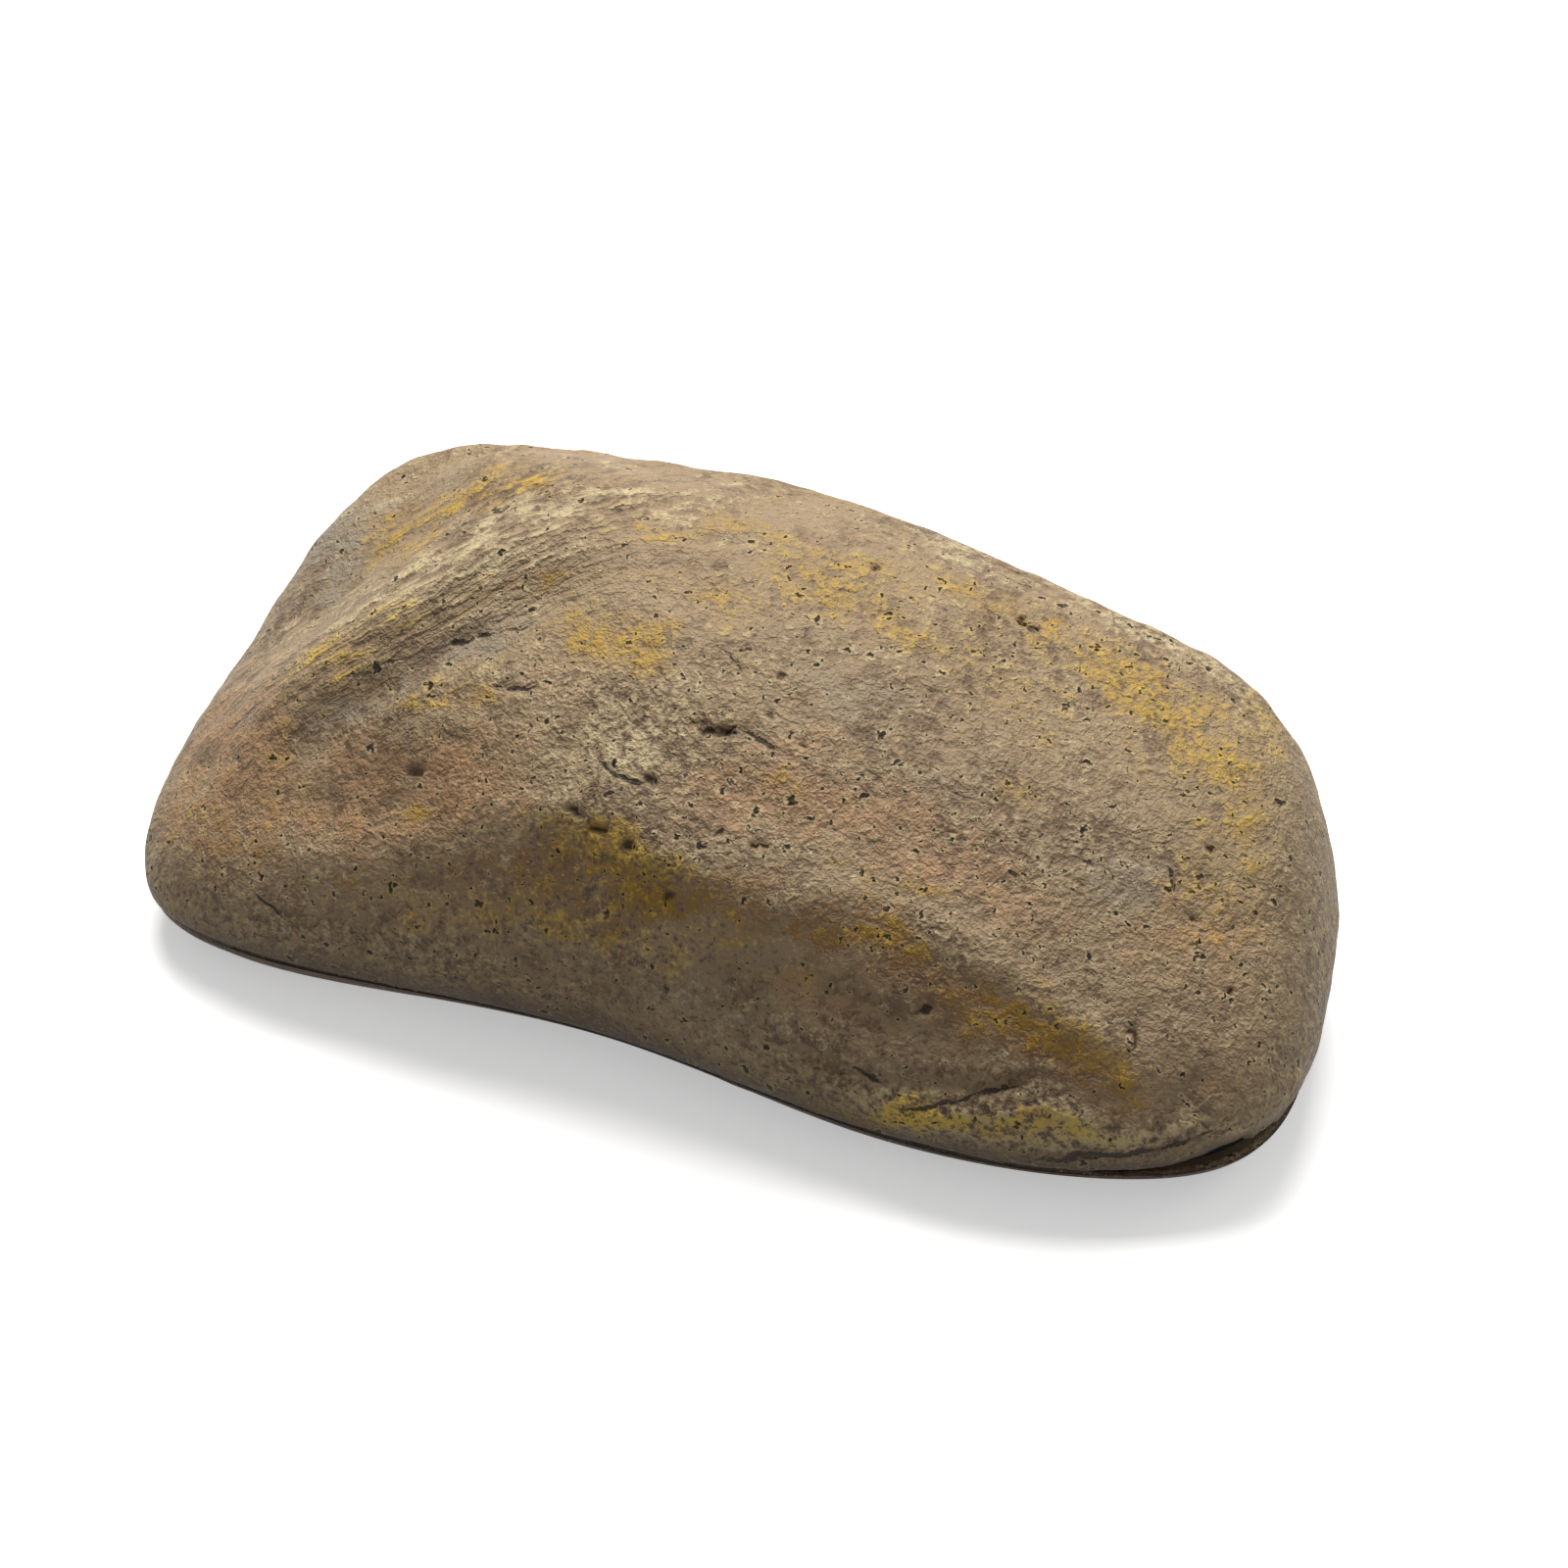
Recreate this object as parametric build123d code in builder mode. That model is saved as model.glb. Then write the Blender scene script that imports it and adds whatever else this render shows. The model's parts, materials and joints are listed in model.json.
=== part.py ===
"""Garden rock that hides a house key: a hollow cast-resin rock on a cast base slab.

The key lies in a moulded box inside the rock. The box's mouth opens through the slab, and
a cover slides across it in a frame let into the underside. All sizes are in millimetres,
+Z is up, the slab stands on z = 0 and the rock's long axis lies along X.
"""

import os
from itertools import zip_longest
from math import radians, tan

from build123d import *

os.makedirs("parts", exist_ok=True)

# ---- The rock's outer form -----------------------------------------------------------------

ROCK_LENGTH = 140.0  # left to right, between the outermost stations
ROCK_DEPTH = 77.0  # front to back, between the outermost stations
ROCK_HEIGHT = 48.0  # floor to crown

# The form is drawn as rings through stations set round the rock, counter-clockwise from
# the front left corner. x and y are percentages of the half length and half depth. The
# heights of the belly (widest ring) and of the shoulder (where the side turns into the
# top) are percentages of the rock's height. Tuck is how far the foot lies inside the
# belly, and inset how far the shoulder does. The dips are how far the top sinks below a
# plain dome on the outermost three brow rings, or rises where they are negative: they
# draw the folds that run from the left end up to the crown.
#     x      y  belly  tuck  inset  shoulder  dips
STATIONS = (
    (-91.5, -83.0, 17.0, 5.5, 7.0, 38.0, (0.2, -0.4, -0.6)),
    (-76.0, -94.3, 19.0, 6.0, 7.3, 42.0, (1.3, 0.7, 0.0)),
    (-52.0, -96.0, 23.0, 7.5, 8.0, 52.0, (-0.3, 0.9, 1.0)),
    (-9.5, -92.0, 25.0, 9.0, 6.0, 67.0, (0.0, 0.0, 0.2)),
    (36.5, -98.5, 23.0, 7.0, 8.0, 59.0, (0.0, 0.0, 0.0)),
    (73.5, -91.0, 19.0, 8.0, 7.0, 46.0, (0.0, 0.0, 0.0)),
    (98.0, -61.0, 21.0, 6.0, 8.0, 46.0, (0.0, 0.0, 0.0)),
    (99.5, -9.0, 25.0, 5.0, 8.0, 58.0, (0.0, 0.0, 0.0)),
    (86.5, 53.5, 29.0, 6.0, 7.0, 71.0, (-0.5, 0.0, 0.0)),
    (56.5, 87.0, 31.0, 6.0, 10.0, 77.0, (-0.8, 0.0, 0.0)),
    (8.0, 100.0, 33.0, 6.0, 10.0, 81.0, (-1.0, 0.0, 0.0)),
    (-43.5, 100.0, 33.0, 6.0, 10.0, 80.0, (-1.0, 0.0, 0.0)),
    (-94.0, 80.5, 29.0, 6.0, 8.0, 66.0, (2.5, 0.0, 0.0)),
    (-100.5, -4.0, 23.0, 5.0, 8.0, 50.0, (1.8, 0.2, 0.0)),
    (-99.3, -49.6, 19.0, 5.3, 7.6, 42.0, (-0.7, -0.7, 0.0)),
)
CROWN_X = -29.5  # percentage of the half length
CROWN_Y = 17.0  # percentage of the half depth

# Halfway up to the belly the side still has this share of the tuck, and halfway from
# there to the shoulder it already has this share of the inset.
SIDE_SHARE = 0.25

# Brow rings, between shoulder and crown: the share of the way out from the crown. The
# innermost two have no dip.
BROW_RINGS = (0.8, 0.6, 0.4, 0.2, 0.1)

# ---- Shell, slab and the seam between them -------------------------------------------------

WALL = 5.0  # cast shell
SLAB_EDGE = 5.0  # height of the slab's stone-finished edge
SEAM = 0.8  # gap between slab and shell, filled by the seal
SEAL_SETBACK = 2.0  # seal's outer edge inside the rock's face
PLATEAU_RISE = 2.5  # slab's raised middle, which centres the shell
SLAB_FIT = 0.3  # plateau inside the shell's rim

# ---- Key box -------------------------------------------------------------------------------

KEY_SPACE_LENGTH = 60.0
KEY_SPACE_WIDTH = 30.0
KEY_SPACE_HEIGHT = 12.5  # flange to roof
KEY_SPACE_CORNER = 3.0
BOX_WALL = 2.0
BOX_DRAFT = 2.0  # degrees
BOX_TOP_RADIUS = 1.6
FLANGE_WIDTH = 3.0
FLANGE_THICKNESS = 2.0
FLANGE_CORNER = 7.0
GASKET_THICKNESS = 1.0
RIB_THICKNESS = 1.4
RIB_RISE = 6.0
RIB_PITCH = 20.0
RIB_COUNT = 3  # on each long side
PAD_THICKNESS = 3.0
PAD_FIT = 0.5  # foam pad inside the box walls

# ---- Slide frame and cover -----------------------------------------------------------------

MOUTH_LEDGE = 1.0  # mouth smaller than the key space, all round
COVER_LAP = 2.0  # cover beyond the mouth, all round
COVER_THICKNESS = 1.8
COVER_CORNER = 2.0
SLIDE_FIT = 0.3  # running clearance of the cover on every side
FRAME_RECESS = 0.5  # frame's face above the floor
FRAME_LIP = 1.2  # thickness of the lip that carries the cover
FRAME_RAIL = 2.7  # wall round the channel
FRAME_CORNER = 5.0
FRAME_CHAMFER = 0.4
FRAME_FIT = 0.2  # frame in the slab's recess
FRAME_RIGHT_MARGIN = 20.7  # rock's right end to the frame
FRAME_LEFT_MARGIN = 12.7  # rock's left end to the frame
TONGUE_LENGTH = 2.0  # hooks of the front rail, under the slab
TONGUE_WIDTH = 10.0
TONGUE_THICKNESS = 1.4
TONGUE_SPACING = 50.0
GRIP_COUNT = 5  # finger ribs on the cover
GRIP_PITCH = 2.2
GRIP_WIDTH = 1.1
GRIP_LENGTH = 18.0
GRIP_HEIGHT = 0.8
GRIP_SETBACK = 4.5  # cover's right edge to the first rib

# ---- Screws --------------------------------------------------------------------------------

SHANK_RADIUS = 1.5
HEAD_RADIUS = 2.7
HEAD_HEIGHT = 1.7
HEAD_CHAMFER = 0.5
TIP_CHAMFER = 0.7
CROSS_WIDTH = 0.8
CROSS_LENGTH = 3.2
CROSS_DEPTH = 0.9
SCREW_CLEARANCE = 0.3  # round heads and shanks in their through holes
THREAD_FIT = 0.05  # round threads in their pilot holes
HEAD_SINK = 1.2  # base screws' heads above the floor
FRAME_HEAD_SINK = 0.4  # frame screws' heads above the frame's face
BASE_SCREW_LENGTH = 10.0
FRAME_SCREW_LENGTH = 10.0
PILOT_SPARE = 1.0  # pilot hole beyond the screw's tip
PIER_RADIUS = 4.0  # shell's piers for the base screws
PIER_RISE = 9.0
PIER_SETBACK = 5.5  # base screws inside the slab's foot
BOSS_WALL = 2.0  # key box's bosses for the frame screws
EAR_WALL = 1.2  # frame round the screw heads
EAR_SPACING = 40.0

# Where each base screw stands, and the station that it stands at.
BASE_SCREWS = (("front_left", 0), ("front_right", 6), ("back_right", 10), ("back_left", 12))

# ---- Heights and lengths that follow -------------------------------------------------------

RIM_Z = SLAB_EDGE + SEAM
PLATEAU_Z = SLAB_EDGE + PLATEAU_RISE
PIER_Z = PLATEAU_Z + SLAB_FIT
FLANGE_Z = PLATEAU_Z + GASKET_THICKNESS
ROOF_Z = FLANGE_Z + KEY_SPACE_HEIGHT
ROOF_DRAFT = KEY_SPACE_HEIGHT * tan(radians(BOX_DRAFT))

LIP_Z = FRAME_RECESS + FRAME_LIP
COVER_Z = LIP_Z + SLIDE_FIT
CHANNEL_TOP = COVER_Z + COVER_THICKNESS + SLIDE_FIT

MOUTH_LENGTH = KEY_SPACE_LENGTH - 2 * MOUTH_LEDGE
MOUTH_WIDTH = KEY_SPACE_WIDTH - 2 * MOUTH_LEDGE
COVER_LENGTH = MOUTH_LENGTH + 2 * COVER_LAP
COVER_WIDTH = MOUTH_WIDTH + 2 * COVER_LAP

FRAME_RIGHT = ROCK_LENGTH / 2 - FRAME_RIGHT_MARGIN
FRAME_LEFT = FRAME_LEFT_MARGIN - ROCK_LENGTH / 2
FRAME_LENGTH = FRAME_RIGHT - FRAME_LEFT
FRAME_X = (FRAME_RIGHT + FRAME_LEFT) / 2
CHANNEL_LENGTH = FRAME_LENGTH - 2 * FRAME_RAIL
CHANNEL_WIDTH = COVER_WIDTH + 2 * SLIDE_FIT
FRAME_WIDTH = CHANNEL_WIDTH + 2 * FRAME_RAIL
TRAVEL = CHANNEL_LENGTH - COVER_LENGTH - 2 * SLIDE_FIT
BOX_X = FRAME_RIGHT - FRAME_RAIL - SLIDE_FIT - COVER_LENGTH / 2

HEAD_HOLE_RADIUS = HEAD_RADIUS + SCREW_CLEARANCE
SHANK_HOLE_RADIUS = SHANK_RADIUS + SCREW_CLEARANCE
PILOT_RADIUS = SHANK_RADIUS + THREAD_FIT
BOSS_RADIUS = PILOT_RADIUS + BOSS_WALL
EAR_RADIUS = HEAD_HOLE_RADIUS + EAR_WALL
EAR_Y = CHANNEL_WIDTH / 2 + EAR_RADIUS
EARS = ((BOX_X - EAR_SPACING / 2, EAR_Y), (BOX_X + EAR_SPACING / 2, EAR_Y))
BASE_HEAD_Z = HEAD_SINK + HEAD_HEIGHT
FRAME_HEAD_Z = FRAME_RECESS + FRAME_HEAD_SINK + HEAD_HEIGHT
BASE_PILOT_TOP = BASE_HEAD_Z + BASE_SCREW_LENGTH + PILOT_SPARE
FRAME_PILOT_TOP = FRAME_HEAD_Z + FRAME_SCREW_LENGTH + PILOT_SPARE

FACING_DOWN = (180, 0, 0)


# ---- The rock's form -----------------------------------------------------------------------


def belly_outline():
    """Station points on the belly seen from above, each with its outward direction."""
    spots = [Vector(ROCK_LENGTH * s[0] / 200, ROCK_DEPTH * s[1] / 200) for s in STATIONS]
    outline = []
    for index, spot in enumerate(spots):
        chord = spots[(index + 1) % len(spots)] - spots[index - 1]
        outline.append((spot, Vector(chord.Y, -chord.X).normalized()))
    return outline


def ring_parameters():
    """Share of the way round at each station, the same on every ring."""
    spots = [spot for spot, _ in belly_outline()]
    steps = [(spots[(i + 1) % len(spots)] - spot).length for i, spot in enumerate(spots)]
    return [sum(steps[:index]) / sum(steps) for index in range(len(steps) + 1)]


def side_profile(station, inset):
    """The rock's side at a station, from foot to shoulder: how far each point lies inside
    the belly's outline, and its height."""
    _, _, belly, tuck, shoulder_inset, shoulder, _ = station
    belly_z = ROCK_HEIGHT * belly / 100
    shoulder_z = ROCK_HEIGHT * shoulder / 100 - inset
    return (
        (inset + tuck, 0),
        (inset + tuck * SIDE_SHARE, belly_z / 2),
        (inset, belly_z),
        (inset + shoulder_inset * SIDE_SHARE, (belly_z + shoulder_z) / 2),
        (inset + shoulder_inset, shoulder_z),
    )


def crown_point(inset):
    """Top of the form, lowered by an inset."""
    return Vector(
        ROCK_LENGTH * CROWN_X / 200, ROCK_DEPTH * CROWN_Y / 200, ROCK_HEIGHT - inset
    )


def station_line(spot, outward, station, inset):
    """Points up the rock at one station, from the foot to the last ring below the crown."""
    line = [
        spot - outward * depth + Vector(0, 0, height)
        for depth, height in side_profile(station, inset)
    ]
    crown, shoulder, dips = crown_point(inset), line[-1], station[-1]
    for share, dip in zip_longest(BROW_RINGS, dips, fillvalue=0):
        reach = (shoulder - crown) * share
        drop = (crown.Z - shoulder.Z) * share**2 + dip
        line.append(Vector(crown.X + reach.X, crown.Y + reach.Y, crown.Z - drop))
    return line


def rock_form(inset):
    """Closed solid through the rings and the crown, moved inwards by an inset. The rings
    bend in space, so the loft is made from wires, which no sketch can hold."""
    lines = [
        station_line(spot, outward, station, inset)
        for (spot, outward), station in zip(belly_outline(), STATIONS)
    ]
    rings = [
        Wire([Edge.make_spline(points, periodic=True, parameters=ring_parameters())])
        for points in zip(*lines)
    ]
    return Solid.make_loft([*rings, Vertex(*crown_point(inset))])


def slab_top_outline(inset):
    """The form's outline at the top of the slab's edge, moved inwards by an inset."""
    return section(rock_form(inset), section_by=Plane.XY.offset(SLAB_EDGE))


def base_screw_spot(index):
    """Centre of the base screw at a station, inside the slab's foot."""
    spot, outward = belly_outline()[index]
    tuck = STATIONS[index][3]
    return spot - outward * (tuck + PIER_SETBACK)


# ---- Outlines that several pieces share ----------------------------------------------------


def frame_outline(height, grow):
    """The slide frame and its two ears, grown all round."""
    with BuildSketch(Plane.XY.offset(height)) as outline:
        with Locations((FRAME_X, 0)):
            RectangleRounded(
                FRAME_LENGTH + 2 * grow, FRAME_WIDTH + 2 * grow, FRAME_CORNER + grow
            )
        with Locations(*EARS):
            Circle(EAR_RADIUS + grow)
    return outline.sketch


def tongue_outline(height, grow):
    """The two hooks on the frame's front rail, grown all round."""
    with BuildSketch(Plane.XY.offset(height)) as outline:
        with Locations((BOX_X, -FRAME_WIDTH / 2)):
            with GridLocations(TONGUE_SPACING, 0, 2, 1):
                Rectangle(TONGUE_WIDTH + 2 * grow, 2 * (TONGUE_LENGTH + grow))
    return outline.sketch


def key_space_outline(height, grow, corner):
    """The key space seen from above, grown all round."""
    with BuildSketch(Plane.XY.offset(height)) as outline:
        with Locations((BOX_X, 0)):
            RectangleRounded(
                KEY_SPACE_LENGTH + 2 * grow, KEY_SPACE_WIDTH + 2 * grow, corner
            )
    return outline.sketch


# ---- Shell ---------------------------------------------------------------------------------

# The hollow, with a pier left standing at each base screw. A pier runs from its screw out
# into the shell's wall.
with BuildPart() as hollow:
    add(rock_form(WALL))
    with BuildSketch(Plane.XY.offset(PIER_Z)):
        for _, station_index in BASE_SCREWS:
            screw_spot = base_screw_spot(station_index)
            run = belly_outline()[station_index][0] - screw_spot
            turn = Vector(1, 0, 0).get_signed_angle(run)
            with Locations(Location(screw_spot + run / 2, (0, 0, turn))):
                SlotCenterToCenter(run.length, 2 * PIER_RADIUS)
    extrude(amount=PIER_RISE, mode=Mode.SUBTRACT)

with BuildPart() as rock_shell:
    add(rock_form(0))
    add(hollow.part, mode=Mode.SUBTRACT)
    split(bisect_by=Plane.XY.offset(RIM_Z), keep=Keep.TOP)
    with BuildSketch(Plane.XY.offset(PIER_Z)):
        with Locations(*[base_screw_spot(index) for _, index in BASE_SCREWS]):
            Circle(PILOT_RADIUS)
    extrude(amount=BASE_PILOT_TOP - PIER_Z, mode=Mode.SUBTRACT)

# ---- Base slab -----------------------------------------------------------------------------

with BuildPart() as base_slab:
    add(rock_form(0))
    split(bisect_by=Plane.XY.offset(SLAB_EDGE), keep=Keep.BOTTOM)
    extrude(slab_top_outline(WALL + SLAB_FIT), amount=PLATEAU_RISE)
    # Recess for the slide frame, with pockets beside it for the hooks of the front rail.
    extrude(frame_outline(0, FRAME_FIT), amount=CHANNEL_TOP, mode=Mode.SUBTRACT)
    extrude(
        tongue_outline(CHANNEL_TOP, FRAME_FIT),
        amount=-TONGUE_THICKNESS - FRAME_FIT,
        mode=Mode.SUBTRACT,
    )
    # Mouth, up through the floor of the recess.
    extrude(
        key_space_outline(CHANNEL_TOP, -MOUTH_LEDGE, KEY_SPACE_CORNER),
        amount=PLATEAU_Z - CHANNEL_TOP,
        mode=Mode.SUBTRACT,
    )
    for _, station_index in BASE_SCREWS:
        with Locations(Location(base_screw_spot(station_index), FACING_DOWN)):
            CounterBoreHole(SHANK_HOLE_RADIUS, HEAD_HOLE_RADIUS, BASE_HEAD_Z, PLATEAU_Z)
    for ear_x, ear_y in EARS:
        with Locations(Location((ear_x, ear_y, CHANNEL_TOP), FACING_DOWN)):
            Hole(SHANK_HOLE_RADIUS, PLATEAU_Z - CHANNEL_TOP)

# ---- Seal in the seam ----------------------------------------------------------------------

with BuildPart() as base_seal:
    extrude(slab_top_outline(SEAL_SETBACK), amount=SEAM)
    extrude(slab_top_outline(WALL), amount=SEAM, mode=Mode.SUBTRACT)

# ---- Key box, its gasket and its pad -------------------------------------------------------

with BuildPart() as key_box:
    extrude(
        key_space_outline(FLANGE_Z, BOX_WALL, KEY_SPACE_CORNER + BOX_WALL),
        amount=KEY_SPACE_HEIGHT + BOX_WALL,
        taper=BOX_DRAFT,
    )
    fillet(key_box.faces().sort_by(Axis.Z)[-1].edges(), BOX_TOP_RADIUS)
    extrude(
        key_space_outline(FLANGE_Z, BOX_WALL + FLANGE_WIDTH, FLANGE_CORNER),
        amount=FLANGE_THICKNESS,
    )
    # Sloping ribs from the flange up the long sides.
    rib_foot = KEY_SPACE_WIDTH / 2 + BOX_WALL + FLANGE_WIDTH
    rib_head = KEY_SPACE_WIDTH / 2
    rib_top = FLANGE_Z + FLANGE_THICKNESS + RIB_RISE
    rib_xs = [BOX_X + RIB_PITCH * (i - (RIB_COUNT - 1) / 2) for i in range(RIB_COUNT)]
    with BuildSketch(*[Plane.YZ.offset(x) for x in rib_xs]):
        Polygon(
            (-rib_foot, FLANGE_Z),
            (rib_foot, FLANGE_Z),
            (rib_head, rib_top),
            (-rib_head, rib_top),
            align=None,
        )
    extrude(amount=RIB_THICKNESS / 2, both=True)
    # Screw bosses, which stand on the slab and join the wall behind them.
    with BuildSketch(Plane.XY.offset(PLATEAU_Z)):
        with Locations(*EARS):
            Circle(BOSS_RADIUS)
    extrude(amount=FRAME_PILOT_TOP + BOSS_WALL - PLATEAU_Z)
    with BuildSketch(Plane.XY.offset(FLANGE_Z)):
        with Locations(*[(x, y / 2) for x, y in EARS]):
            Rectangle(BOSS_WALL, EAR_Y)
    extrude(amount=FRAME_PILOT_TOP + BOSS_WALL - FLANGE_Z)
    # Key space, then the pilot holes.
    extrude(
        key_space_outline(FLANGE_Z, 0, KEY_SPACE_CORNER),
        amount=KEY_SPACE_HEIGHT,
        taper=BOX_DRAFT,
        mode=Mode.SUBTRACT,
    )
    for ear_x, ear_y in EARS:
        with Locations(Location((ear_x, ear_y, PLATEAU_Z), FACING_DOWN)):
            Hole(PILOT_RADIUS, FRAME_PILOT_TOP - PLATEAU_Z)

with BuildPart() as box_gasket:
    extrude(
        key_space_outline(PLATEAU_Z, BOX_WALL + FLANGE_WIDTH, FLANGE_CORNER),
        amount=GASKET_THICKNESS,
    )
    with BuildSketch(Plane.XY.offset(PLATEAU_Z)):
        add(key_space_outline(0, 0, KEY_SPACE_CORNER))
        with Locations(*EARS):
            Circle(BOSS_RADIUS + SLAB_FIT)
    extrude(amount=GASKET_THICKNESS, mode=Mode.SUBTRACT)

with BuildPart() as key_pad:
    extrude(
        key_space_outline(ROOF_Z, -ROOF_DRAFT - PAD_FIT, KEY_SPACE_CORNER),
        amount=-PAD_THICKNESS,
    )

# ---- Slide frame and cover -----------------------------------------------------------------

with BuildPart() as slide_frame:
    extrude(frame_outline(FRAME_RECESS, 0), amount=CHANNEL_TOP - FRAME_RECESS)
    # Window under the mouth, then the channel, whose floor is the lip round the window.
    extrude(
        key_space_outline(FRAME_RECESS, -MOUTH_LEDGE, KEY_SPACE_CORNER),
        amount=FRAME_LIP,
        mode=Mode.SUBTRACT,
    )
    chamfer(slide_frame.edges().group_by(Axis.Z)[0], FRAME_CHAMFER)
    with BuildSketch(Plane.XY.offset(LIP_Z)):
        with Locations((FRAME_X, 0)):
            RectangleRounded(CHANNEL_LENGTH, CHANNEL_WIDTH, COVER_CORNER)
    extrude(amount=CHANNEL_TOP - LIP_Z, mode=Mode.SUBTRACT)
    extrude(
        tongue_outline(CHANNEL_TOP, 0) - frame_outline(CHANNEL_TOP, 0),
        amount=-TONGUE_THICKNESS,
    )
    for ear_x, ear_y in EARS:
        with Locations(Location((ear_x, ear_y, FRAME_RECESS), FACING_DOWN)):
            CounterBoreHole(
                SHANK_HOLE_RADIUS,
                HEAD_HOLE_RADIUS,
                FRAME_HEAD_Z - FRAME_RECESS,
                CHANNEL_TOP - FRAME_RECESS,
            )

with BuildPart() as slide_cover:
    with BuildSketch(Plane.XY.offset(COVER_Z)):
        with Locations((BOX_X, 0)):
            RectangleRounded(COVER_LENGTH, COVER_WIDTH, COVER_CORNER)
    extrude(amount=COVER_THICKNESS)
    with BuildSketch(Plane.XY.offset(COVER_Z)):
        for index in range(GRIP_COUNT):
            grip_x = BOX_X + COVER_LENGTH / 2 - GRIP_SETBACK - index * GRIP_PITCH
            with Locations((grip_x, 0)):
                SlotOverall(GRIP_LENGTH, GRIP_WIDTH, rotation=90)
    extrude(amount=-GRIP_HEIGHT)

# ---- Screws --------------------------------------------------------------------------------


def make_screw(spot, seat_z, length):
    """Cross-head screw driven up from below, its head's seat at seat_z."""
    with BuildPart() as screw:
        with BuildSketch(Plane.XY.offset(seat_z - HEAD_HEIGHT)):
            with Locations(spot):
                Circle(HEAD_RADIUS)
        extrude(amount=HEAD_HEIGHT)
        chamfer(screw.edges().sort_by(Axis.Z)[0], HEAD_CHAMFER)
        with BuildSketch(Plane.XY.offset(seat_z)):
            with Locations(spot):
                Circle(SHANK_RADIUS)
        extrude(amount=length)
        chamfer(screw.edges().sort_by(Axis.Z)[-1], TIP_CHAMFER)
        with BuildSketch(Plane.XY.offset(seat_z - HEAD_HEIGHT)):
            with Locations(spot):
                Rectangle(CROSS_LENGTH, CROSS_WIDTH)
                Rectangle(CROSS_WIDTH, CROSS_LENGTH)
        extrude(amount=CROSS_DEPTH, mode=Mode.SUBTRACT)
    return screw.part


pieces = {
    "rock_shell": rock_shell.part,
    "base_slab": base_slab.part,
    "base_seal": base_seal.part,
    "key_box": key_box.part,
    "box_gasket": box_gasket.part,
    "key_pad": key_pad.part,
    "slide_frame": slide_frame.part,
    "slide_cover": slide_cover.part,
}
for place, station_index in BASE_SCREWS:
    pieces[f"base_screw_{place}"] = make_screw(
        base_screw_spot(station_index), BASE_HEAD_Z, BASE_SCREW_LENGTH
    )
for place, ear in zip(("left", "right"), EARS):
    pieces[f"frame_screw_{place}"] = make_screw(ear, FRAME_HEAD_Z, FRAME_SCREW_LENGTH)

for name, piece in pieces.items():
    piece.label = name
    export_step(piece, f"parts/{name}.step")

print(f"cover's travel to the left: {TRAVEL:.2f} mm")
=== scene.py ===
"""Looks of the garden rock that hides a house key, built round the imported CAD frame.

The cast shell's smooth form is worked out again from its stations, then folded, pitted and
cracked by formulas on a fine grid, and painted by vertex masks that a procedural stone
material breaks up. Shapes are worked out in millimetres and put into meshes in metres.
Places on the stone's photographed side are given in pixels of the photograph (1600 x 1600)
and carried on to the rock through the photograph's viewpoint.
"""

import json
import logging
from dataclasses import dataclass, field
from enum import Enum
from itertools import zip_longest
from math import cos, radians, sin
from typing import Any, Sequence

import bpy
import numpy as np
from numpy.typing import NDArray
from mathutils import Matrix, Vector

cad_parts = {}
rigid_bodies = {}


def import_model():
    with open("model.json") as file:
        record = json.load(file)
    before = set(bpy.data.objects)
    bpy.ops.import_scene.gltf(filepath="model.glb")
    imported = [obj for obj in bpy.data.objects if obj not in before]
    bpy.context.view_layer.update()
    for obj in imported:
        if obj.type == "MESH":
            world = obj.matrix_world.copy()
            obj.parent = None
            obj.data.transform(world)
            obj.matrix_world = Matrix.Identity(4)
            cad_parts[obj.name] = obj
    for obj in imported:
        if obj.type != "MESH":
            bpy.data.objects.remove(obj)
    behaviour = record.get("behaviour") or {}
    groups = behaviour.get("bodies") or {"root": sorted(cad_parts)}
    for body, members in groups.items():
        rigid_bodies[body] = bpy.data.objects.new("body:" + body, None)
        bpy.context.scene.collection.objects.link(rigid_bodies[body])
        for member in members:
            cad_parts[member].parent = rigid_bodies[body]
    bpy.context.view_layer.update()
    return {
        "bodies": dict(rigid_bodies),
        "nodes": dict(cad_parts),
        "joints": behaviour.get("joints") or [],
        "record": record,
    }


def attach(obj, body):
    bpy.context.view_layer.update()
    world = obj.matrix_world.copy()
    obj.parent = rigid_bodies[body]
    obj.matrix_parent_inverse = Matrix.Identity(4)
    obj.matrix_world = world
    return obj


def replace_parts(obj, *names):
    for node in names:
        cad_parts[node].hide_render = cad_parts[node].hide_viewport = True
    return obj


Floats = NDArray[np.float64]
Colour = tuple[float, float, float]
Pixels = tuple[tuple[float, float], ...]

MM = 0.001
LOG = logging.getLogger("key_rock")


# ---- Small helpers ---------------------------------------------------------------------------


def paint(red: int, green: int, blue: int) -> Colour:
    """A colour mixed by its screen values, as the linear light that shaders take.

    Args:
        red: Red on a screen, 0 to 255.
        green: Green on a screen, 0 to 255.
        blue: Blue on a screen, 0 to 255.

    Returns:
        The same colour in linear light.
    """
    shares = (channel / 255 for channel in (red, green, blue))
    return tuple(s / 12.92 if s < 0.04045 else ((s + 0.055) / 1.055) ** 2.4 for s in shares)


def ease(values: Floats, low: float, high: float) -> Floats:
    """Smooth step: 0 below low, 1 above high, and 3t^2 - 2t^3 between them.

    Args:
        values: The values to ease.
        low: Where the step starts.
        high: Where the step ends.

    Returns:
        The eased values, 0 to 1.
    """
    t = np.clip((values - low) / (high - low), 0, 1)
    return t * t * (3 - 2 * t)


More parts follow.
